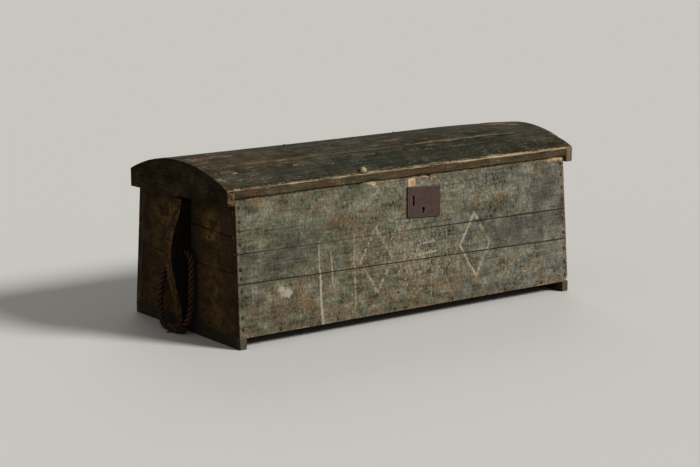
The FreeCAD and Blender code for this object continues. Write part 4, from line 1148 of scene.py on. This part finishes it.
def lid_plank(n, place, sizes, heads, arches):
    """A curved plank under dark green paint, worn hollow, its edges rubbed to the wood."""
    node = "lid_plank_" + place
    front = place == "front"
    worn = sizes.joint_wear
    base = worn * np.array((1.6, 1.2, 1, 1) if front else (1, 1, 1, 1))
    extra = worn * np.array((2, 2, 0, 1) if front else (1, 0, 0, 1))
    board = straight_board(node, 0, LYING, (3, 1), sizes.lid_grid, (6, 10, 4), worn,
                           wavering(base, extra, 26, 500 + 10 * n,
                                    placed(LID_CHIPS, node) if front else ()), arches)
    points = board.build(("dark_green_paint_on_pine", "aged_pine_lengthwise",
                          "lid_edge_paint_on_pine"), (2 if front else 1, 1, 1, 0))
    outside = board.outside
    x, y, _ = points.T / MM
    top, foot = (arch_height(arch, points[:, 1]) for arch in arches)
    points[:, 2] -= np.clip((points[:, 2] - foot) / (top - foot), 0, 1) * lid_sunk(x, y) * MM
    set_positions(board.obj.data, points)
    wobble = 4 * lumps(points, (30, 14, 14), 25) + 2 * lumps(points, (12, 6, 6), 26)
    ragged = np.clip(0.95 + 0.8 * lumps(points, (36, 12, 12), 28), 0.3, 2)
    edges = (2.6 if front else 0.15, 0.3 * front, 0, 0.4 if place == "back" else 0.15)
    wear = board.edge_wear(edges, 2.2, 0.2) * ragged + patches(x, y, LID_BARE, wobble)
    wear += 0.35 * board.edge_wear((1, 1, 0, 0), 9.0) * front * np.clip(
        (x - EDGE_RUBBED[0]) / EDGE_RUBBED[1], 0, 1)
    plug_x, plug_y, radius, _ = LID_PLUG
    # A dark ring round the cream bead is a painted shadow under it.
    ring = np.hypot(x - plug_x, y - plug_y) / (1.3 * radius)
    dirt_and_bead_shadow = patches(x, y, LID_GRIME, wobble) + 1.2 * np.exp(-ring ** 4) * outside
    stain = rust_round(points, heads, 5.0, 6.0) * outside
    pale = patches(x, y, LID_PALE, 0.5 * wobble)
    pale += 0.9 * front * ragged * board.edge_wear((1, 0, 0, 0), 1.2)
    # Along the front plank's lower front edge the rust mask paints a dark shadow line under the
    # lid's edge.
    set_masks(board.obj, wear=wear, fade=patches(x, y, LID_OLIVE, wobble) * outside,
              grime=dirt_and_bead_shadow + 0.45 * board.edge_wear((not front, 0, 0, place != "back"), 2.0),
              rust=stain + 0.8 * front * board.edge_wear((0, 1, 0, 0), 1.6),
              pale=pale + 0.3 * np.maximum(0, lumps(points, (60, 6, 30), 31)))
    dent(board.obj, sizes.warp, (220, 30, 200), RNG_SEED + 9, outside)
    dent(board.obj, 0.5 * sizes.warp, (60, 9, 60), RNG_SEED + 10, outside)
    points = positions(board.obj.data)
    break_x, break_y, reach, depth = LID_BREAK
    points[:, 2] -= outside * depth * MM * np.exp(
        -((x - break_x) ** 2 + (y - break_y) ** 2) / (reach + wobble) ** 2)
    set_positions(board.obj.data, points)
    stand_for(board.obj, node)


def lid_plug(arch):
    """A bead of old cream paint and filler that stands on the front plank."""
    x, y, radius, half_height = (value * MM for value in LID_PLUG)
    ball = bmesh.new()
    bmesh.ops.create_icosphere(ball, subdivisions=4, radius=1.0)
    mesh = mesh_from(ball, "lid_front_plug")
    points = positions(mesh)
    points *= (1 + 0.10 * lumps(points * 0.01, 6, 61))[:, None]
    points *= (radius, radius, half_height)
    set_positions(mesh, points + (x, y, arch_height(arch, y) + 0.6 * half_height))
    mesh.shade_smooth()
    mesh.materials.append(bpy.data.materials["cream_filler"])
    obj = link(bpy.data.objects.new("lid_front_plug", mesh))
    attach(obj, frame["nodes"]["lid_plank_front"]["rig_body"])


def arched_board(node, side, arch, sizes, base, extra, chips=(), sunk=0.0):
    """A board on edge with an arched top, swept from front to back.

    sunk is the share of the lid's worn hollow that its top follows.
    """
    low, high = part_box(node)
    feet = [node_corner(node, (side, 3 * y_side, -2))[2] for y_side in (-1, 1)]
    outer, inner = (high[0], low[0])[::side]

    def corners(share):
        y = low[1] + share * (high[1] - low[1])
        worn = lid_sunk((low[0] + high[0]) / 2 / MM, y / MM) * MM
        top = arch_height(arch, y) - sunk * worn
        foot = feet[0] + share * (feet[1] - feet[0])
        return np.stack([
            np.stack([np.full(len(share), x), y, z], axis=1)
            for x, z in ((outer, foot), (inner, foot), (inner, top), (outer, top))], axis=1)
    return Board(node, corners, high[1] - low[1], sizes.board_grid * 0.7, (5, 8, 6, 14),
                 2.0 * MM, wavering(base, extra, 26, 560 + side, chips))


def lid_cleat(end, side, arch, sizes, heads):
    """A batten over the planks' ends, olive outside and green on its arched top."""
    node = "lid_cleat_" + end
    board = arched_board(node, side, arch, sizes, 1.5 * MM, np.array((1.5, 0, 0.5, 2.0)) * MM,
                         CLEAT_CHIPS, 1.0)
    points = board.build(("olive_paint_on_cleat", "aged_pine_crosswise",
                          "dark_green_paint_on_pine"), (0, 1, 2, 0), 0)
    wear = board.edge_wear((0.15, 0.1, 0.35, 0.45), 4.0, 0.5)
    if end == "right":
        at_front = points[:, 1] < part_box(node)[0][1] + CLEAT_FRONT
        wear += 0.30 * at_front * board.edge_wear((0, 0, 1, 1), 26.0, 0.3)
    x, y, _ = points.T / MM
    near_top = points[:, 2] > arch_height(arch, points[:, 1]) - CLEAT_TOP
    wear += patches(x, y, LID_BARE, 4 * lumps(points, (14, 20, 14), 35)) * near_top
    set_masks(board.obj, wear=wear, grime=0.25 + 0.35 * lumps(points, (60, 60, 30), 37),
              rust=rust_round(points, heads, 5.0, 8.0))
    dent(board.obj, sizes.warp, (40, 60, 40), RNG_SEED + 12, board.outside)
    stand_for(board.obj, node)


def lid_rib(end, side, arch, sizes):
    """An unpainted rib that holds the planks together from below."""
    node = "lid_rib_" + end
    board = arched_board(node, side, arch, sizes, 0.8 * MM, 0)
    points = board.build(("aged_pine_crosswise", "aged_pine_crosswise",
                          "dark_green_paint_on_pine"))
    set_masks(board.obj, grime=0.2 + 0.2 * lumps(points, (60, 60, 30), 38))
    stand_for(board.obj, node)


class SeaChestLid(bpy.types.Operator):
    """Builds the lid's curved planks, its cleats and its ribs"""
    bl_idname = "sea_chest.lid"
    bl_label = "Lid"

    def execute(self, context):
        sizes = context.scene.sea_chest_sizes
        heads = nail_heads("lid_nails")
        outer, inner = lid_arch(1), lid_arch(-1)
        for n, place in enumerate(LID_PLANKS):
            lid_plank(n, place, sizes, heads, (outer, inner))
        lid_plug(outer)
        for end, side in ENDS:
            lid_cleat(end, side, outer, sizes, heads)
            lid_rib(end, side, inner, sizes)
        return {"FINISHED"}


# ---------------------------------------------------------------- handles and ironwork
STANDING_OUT_ROUNDS = 30       # rounds of smoothing that find what stands out


def worn_copy(node, name, grain, smoothing, material, full_wear):
    """A CAD node's shape made again as an even skin with softened edges.

    Its wear mask is 1 where it stands out by full_wear millimetres.
    """
    obj = link(bpy.data.objects.new(name + "_raw", mesh_from(shape_of(node), name)))
    skin = obj.modifiers.new("skin", "REMESH")
    skin.mode, skin.voxel_size, skin.use_smooth_shade = "VOXEL", grain, True
    soften = obj.modifiers.new("soften", "SMOOTH")
    soften.factor, soften.iterations = 0.5, smoothing
    made = plain_mesh(obj, name)
    made.data.materials.clear()
    made.data.materials.append(bpy.data.materials[material])
    set_masks(made, wear=standing_out(made.data) / (full_wear * MM))
    return made


def standing_out(mesh):
    """How far each point stands out from the mesh smoothed over many rounds."""
    first, second = values(mesh.edges, "vertices", 2, np.int32).T
    start = positions(mesh)
    smooth = start.copy()
    count = np.bincount(np.append(first, second), minlength=len(start))
    for _ in range(STANDING_OUT_ROUNDS):
        total = np.zeros_like(smooth)
        np.add.at(total, first, smooth[second])
        np.add.at(total, second, smooth[first])
        smooth = 0.5 * smooth + 0.5 * total / np.maximum(count, 1)[:, None]
    return ((start - smooth) * normals(mesh)).sum(axis=1)


class SeaChestHandles(bpy.types.Operator):
    """Builds the two bowed handle blocks"""
    bl_idname = "sea_chest.handles"
    bl_label = "Handle blocks"

    def execute(self, context):
        sizes = context.scene.sea_chest_sizes
        for end, side in ENDS:
            node = end + "_handle_block"
            obj = worn_copy(node, node + "_worn", sizes.block_grain, 3,
                            "olive_paint_on_batten", 1.2)
            points = positions(obj.data)
            out = np.clip(side * normals(obj.data)[:, 0], 0, 1) ** 2
            edges = values(obj.data.attributes["wear"].data, "value", 1)[:, 0].astype(float)
            # Every side that does not face outwards is darkened nearly to black: painted shade.
            set_masks(obj, wear=0.12 * edges + 0.42 * out + 0.2 * lumps(points, (20, 20, 45), 60),
                      grime=1 - out,
                      rust=rust_round(points, nail_heads(end + "_handle_nails"), 4.0, 8.0))
            dent(obj, 0.5 * sizes.warp, (14, 14, 40), RNG_SEED + 20 + side)
            stand_for(obj, node)
        return {"FINISHED"}


class SeaChestIronwork(bpy.types.Operator):
    """Builds the lock's plate and the two strap hinges, and rusts the rest of the iron"""
    bl_idname = "sea_chest.ironwork"
    bl_label = "Ironwork"

    def execute(self, context):
        sizes = context.scene.sea_chest_sizes
        forged, plain = ["lock_plate"], ["lock_case", "lock_bolt", "lock_spring"]
        for end, _ in ENDS:
            forged += [end + "_hinge_strap", end + "_hinge_leaf"]
            plain += [end + "_hinge_pin", end + "_runner_nails"]
        for n, node in enumerate(forged):
            obj = worn_copy(node, node + "_forged", sizes.iron_grain, 1, "rusted_wrought_iron",
                            0.6)
            dent(obj, 0.25 * MM, 9, RNG_SEED + 30 + n)
            stand_for(obj, node)
        for node in plain:
            materials = frame["nodes"][node].data.materials
            materials.clear()
            materials.append(bpy.data.materials["rusted_wrought_iron"])
        return {"FINISHED"}


class SeaChestNails(bpy.types.Operator):
    """Sets forged nail heads along the boards, blocks, hinges and the lock's plate"""
    bl_idname = "sea_chest.nails"
    bl_label = "Nails"

    def execute(self, context):
        sizes = context.scene.sea_chest_sizes
        tree = nail_tree()
        nodes = ["front_nails", "back_nails", "lid_nails", "lock_plate_nails"]
        for end, _ in ENDS:
            nodes += [end + held for held in ("_handle_nails", "_hinge_strap_nails",
                                              "_hinge_leaf_nails")]
        for n, node in enumerate(nodes):
            forge_nails(node, tree, sizes, RNG_SEED + n)
        return {"FINISHED"}


# ---------------------------------------------------------------- ropes
STRAND_POINTS = 10             # points round a strand
STATION_GAP = 0.0016           # metres between a strand's rings
ORBIT, STRAND_RADIUS = 0.258, 0.242   # of a rope's diameter
KNOT_SHARE = 0.405             # of the becket's length, where its knot sits
KNOT_PITCH = 0.011
KNOT_TAIL = 0.016
# A knot's two cords: turns, shift along the rope, lean, and the way that the tail goes.
KNOT_CORDS = ((1.6, -0.006, 0.35, (0.55, -0.80, 0.0)), (1.3, 0.010, -0.50, (0.80, 0.55, 0.0)))
KNOT_SINK = 0.36               # of the cord's thickness, its middle above the rope
TURN_POINTS = 16               # points in a full turn of a knot's cord
FLOOR_GAP = 0.0004             # metres
FRAYED_YARNS = 12
YARN_POINTS = 7
YARN_LENGTHS = (0.008, 0.015)
YARN_RADII = (0.0012, 0.0005)  # at its root and at its tip
YARN_DROOP = 0.004


def distances(line):
    """How far each point of a line is along it."""
    return np.append(0, np.cumsum(np.linalg.norm(np.diff(line, axis=0), axis=1)))


def on_line(line, along, place):
    """The line's points at a distance, or at several."""
    return np.stack([np.interp(place, along, line[:, k]) for k in range(3)], axis=-1)


def spline_line(name, points):
    """The smooth line of one open spline with these control points."""
    curve = bpy.data.curves.new(name, "CURVE")
    curve.dimensions = "3D"
    spline = curve.splines.new("NURBS")
    spline.points.add(len(points) - 1)
    for control, point in zip(spline.points, points):
        control.co = (*point, 1.0)
    spline.order_u = 3
    spline.use_endpoint_u = True
    spline.resolution_u = 16
    obj = link(bpy.data.objects.new(name, curve))
    mesh = evaluated(obj)
    line = positions(mesh)
    bpy.data.objects.remove(obj)
    bpy.data.meshes.remove(mesh)
    return line


def frames_along(line):
    """Two directions across the line at each point, carried along without twist."""
    tangent = unit(np.gradient(line, axis=0))
    across = np.cross(tangent[0], (0.3, 0.4, 0.86))
    sideways = []
    for way in tangent:
        across = across - way * (across @ way)
        across = across / np.linalg.norm(across)
        sideways.append(across)
    return np.array(sideways), np.cross(tangent, sideways)


class Tubes:
    """Round tubes joined into one mesh, each mapped along its own length."""

    def __init__(self):
        self.points, self.faces, self.maps, self.depths = [], [], [], []

    def add(self, line, radii, turn, axis=None, reach=1.0):
        """A tube along line. turn is how far its map is twisted at each point.

        axis is the line that the tube winds round and reach how far out it gets from there.
        """
        side, up = frames_along(line)
        around = np.linspace(0, math.tau, STRAND_POINTS, endpoint=False) + turn[:, None]
        rings = line[:, None] + radii[:, None, None] * (
            np.cos(around)[..., None] * side[:, None] + np.sin(around)[..., None] * up[:, None])
        self.depths.append(np.ones(around.size) if axis is None else
                           (np.linalg.norm(rings - axis[:, None], axis=2) / reach).ravel())
        self.faces += ring_faces(len(line), STRAND_POINTS, len(self.points) * STRAND_POINTS)
        self.points += list(rings)
        i, j = np.meshgrid(np.arange(len(line) - 1), np.arange(STRAND_POINTS), indexing="ij")
        u = np.stack([j, j + 1, j + 1, j], axis=-1) / STRAND_POINTS
        v = distances(line)[np.stack([i, i, i + 1, i + 1], axis=-1)]
        self.maps += [np.stack([u, v], axis=-1).ravel(), np.zeros(4 * STRAND_POINTS)]

    def build(self, name):
        obj = new_object(name, np.concatenate(self.points), self.faces, ["tarred_hemp"])
        layer = obj.data.uv_layers.new(name="along_strand")
        layer.data.foreach_set("uv", np.concatenate(self.maps).astype(np.float32))
        shape = bmesh.new()
        shape.from_mesh(obj.data)
        bmesh.ops.recalc_face_normals(shape, faces=shape.faces)
        shape.to_mesh(obj.data)
        shape.free()
        set_masks(obj, outermost=np.concatenate(self.depths))
        return obj


def lay_strands(tubes, line, diameter, lay, unlaid=0.0):
    """Adds three strands twisted along the line; unlaid opens them towards the far end."""
    along = distances(line)
    length = along[-1]
    line = on_line(line, along, np.linspace(0, length, max(8, round(length / STATION_GAP))))
    side, up = frames_along(line)
    along = np.linspace(0, length, len(line))
    opening = 1 + unlaid * np.clip(along / length * 3 - 2, 0, 1) ** 2
    for number in range(3):
        turn = math.tau * (along / lay + number / 3)
        centre = line + (ORBIT * diameter * opening)[:, None] * (
            np.cos(turn)[:, None] * side + np.sin(turn)[:, None] * up)
        if unlaid:
            centre[:, 2] = np.maximum(centre[:, 2], 0.25 * diameter)
        uneven = 1 + 0.05 * lumps(centre, 7, 50 + number)
        tubes.add(centre, STRAND_RADIUS * diameter * uneven, 0.8 * turn, line, diameter / 2)
    return line, length


def knot_lines(line, length, outwards, thickness):
    """Two cords: turns round the rope that end in a tail outwards, and a second tail."""
    radius = BECKET_DIAMETER / 2 + thickness * KNOT_SINK
    side, up = frames_along(line)
    along = np.linspace(0, length, len(line))
    cords = []
    for turns, shift, lean, way in KNOT_CORDS:
        points = []
        for turn in np.arange(0, turns, 1 / TURN_POINTS):
            place = KNOT_SHARE * length + shift + (turn - turns / 2) * KNOT_PITCH
            place += lean * radius * math.sin(math.tau * turn)
            n = min(len(line) - 1, int(place / length * len(line)))
            angle = math.tau * (turn + shift * 40)
            points.append(on_line(line, along, place)
                          + radius * (math.cos(angle) * side[n] + math.sin(angle) * up[n]))
        tail = np.array(way) * (outwards, 1, 1) * KNOT_TAIL
        points = np.array(points + [points[-1] + tail * share
                                    for share in np.linspace(0, 1, 7)[1:]])
        points[:, 2] = np.maximum(points[:, 2], thickness / 2 + FLOOR_GAP)
        for _ in range(2):
            points[1:-1] = (points[:-2] + 2 * points[1:-1] + points[2:]) / 4
        cords.append(points)
    return cords


def fray(tubes, end, way, thickness, rng):
    """Adds the loose yarns at a cord's end, fanned out and drooping to the floor."""
    for _ in range(FRAYED_YARNS):
        spread = rng.normal(0, 0.45, 3)
        share = np.linspace(0, 1, YARN_POINTS)[:, None]
        start = end + rng.uniform(-0.35, 0.35, 3) * thickness
        line = start + (way + spread * share) * share * rng.uniform(*YARN_LENGTHS)
        line[:, 2] = np.maximum(line[:, 2] - YARN_DROOP * share[:, 0] ** 2,
                                YARN_RADII[0])
        tubes.add(line, np.linspace(*YARN_RADII, YARN_POINTS), np.zeros(YARN_POINTS))


class SeaChestRopes(bpy.types.Operator):
    """Lays the two rope beckets and the knot on each"""
    bl_idname = "sea_chest.ropes"
    bl_label = "Rope beckets"

    def execute(self, context):
        sizes = context.scene.sea_chest_sizes
        for end, side in ENDS:
            joint = next(j for j in frame["joints"] if j["name"] == end + "_becket_swing")
            axis_x = joint["pos_m"][0]
            route = [(axis_x + side * out * MM, y * MM, z * MM) for out, y, z in BECKET_ROUTE]
            rng = np.random.default_rng(RNG_SEED + 60)
            strands = Tubes()
            line, length = lay_strands(strands, spline_line(end + "_route", route),
                                       BECKET_DIAMETER, side * -sizes.rope_lay)
            rope = strands.build(end + "_becket_strands")
            stand_for(rope, end + "_becket_rope")
            cords = Tubes()
            for points in knot_lines(line, length, side, sizes.knot_cord):
                lay_strands(cords, points, sizes.knot_cord, 0.7 * sizes.rope_lay, 0.25)
                fray(cords, points[-1], unit(points[-1] - points[-3]), sizes.knot_cord, rng)
            knot = cords.build(end + "_becket_knot")
            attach(knot, end + "_becket")
        return {"FINISHED"}


# ---------------------------------------------------------------- stage
class SeaChestStage(bpy.types.Operator):
    """Sets the camera, the soft lamps, the pale floor and the world, and makes the materials"""
    bl_idname = "sea_chest.stage"
    bl_label = "Stage and materials"

    def execute(self, context):
        scene = context.scene
        make_materials(scene.sea_chest_colours)
        camera = bpy.data.cameras.new("camera")
        camera.lens = CAMERA_LENS
        camera.sensor_width = SENSOR_WIDTH
        scene.camera = link(bpy.data.objects.new("camera", camera))
        scene.camera.location = CAMERA_PLACE
        scene.camera.rotation_euler = Vector(CAMERA_AIM).to_track_quat("-Z", "Y").to_euler()
        scene.view_settings.view_transform = "Standard"
        for name, energy, degrees, way in LAMPS:
            sun = bpy.data.lights.new(name, "SUN")
            sun.energy = energy
            sun.angle = math.radians(degrees)
            lamp = link(bpy.data.objects.new(name, sun))
            lamp.rotation_euler = Vector(way).to_track_quat("Z", "Y").to_euler()
        corners = np.array(((-1, -1, 0), (1, -1, 0), (1, 1, 0), (-1, 1, 0))) * FLOOR_SIZE / 2
        new_object("floor", corners, [(0, 1, 2, 3)], ["pale_studio_floor"])
        scene.world = bpy.data.worlds.new("studio")
        tree = new_tree(scene.world)
        light = seen_apart(tree, "ShaderNodeBackground", {"Color": linear("#cfcecb")},
                           {"Color": linear("#faf8f4"), "Strength": ROOM_LIGHT})
        add(tree, "ShaderNodeOutputWorld", {"Surface": light})
        return {"FINISHED"}


class SeaChestPanel(bpy.types.Panel):
    """Sizes, colours and steps of the sea chest"""
    bl_label = "Sea Chest"
    bl_idname = "VIEW3D_PT_sea_chest"
    bl_space_type = "VIEW_3D"
    bl_region_type = "UI"
    bl_category = "Sea Chest"

    def draw(self, context):
        for group in (context.scene.sea_chest_sizes, context.scene.sea_chest_colours):
            for name in group.__annotations__:
                self.layout.prop(group, name)
        for button in STEPS:
            self.layout.operator(button.bl_idname)


STEPS = (SeaChestStage, SeaChestRopes, SeaChestWalls, SeaChestLid, SeaChestHandles,
         SeaChestIronwork, SeaChestNails)
CLASSES = (SeaChestSizes, SeaChestColours, *STEPS, SeaChestPanel)


def register():
    for cls in CLASSES:
        bpy.utils.register_class(cls)
    bpy.types.Scene.sea_chest_sizes = bpy.props.PointerProperty(type=SeaChestSizes)
    bpy.types.Scene.sea_chest_colours = bpy.props.PointerProperty(type=SeaChestColours)


def unregister():
    del bpy.types.Scene.sea_chest_colours
    del bpy.types.Scene.sea_chest_sizes
    for cls in reversed(CLASSES):
        bpy.utils.unregister_class(cls)


def main():
    register()
    bpy.ops.sea_chest.stage()
    bpy.ops.sea_chest.ropes()
    bpy.ops.sea_chest.walls()
    bpy.ops.sea_chest.lid()
    bpy.ops.sea_chest.handles()
    bpy.ops.sea_chest.ironwork()
    bpy.ops.sea_chest.nails()


if __name__ == "__main__":
    main()
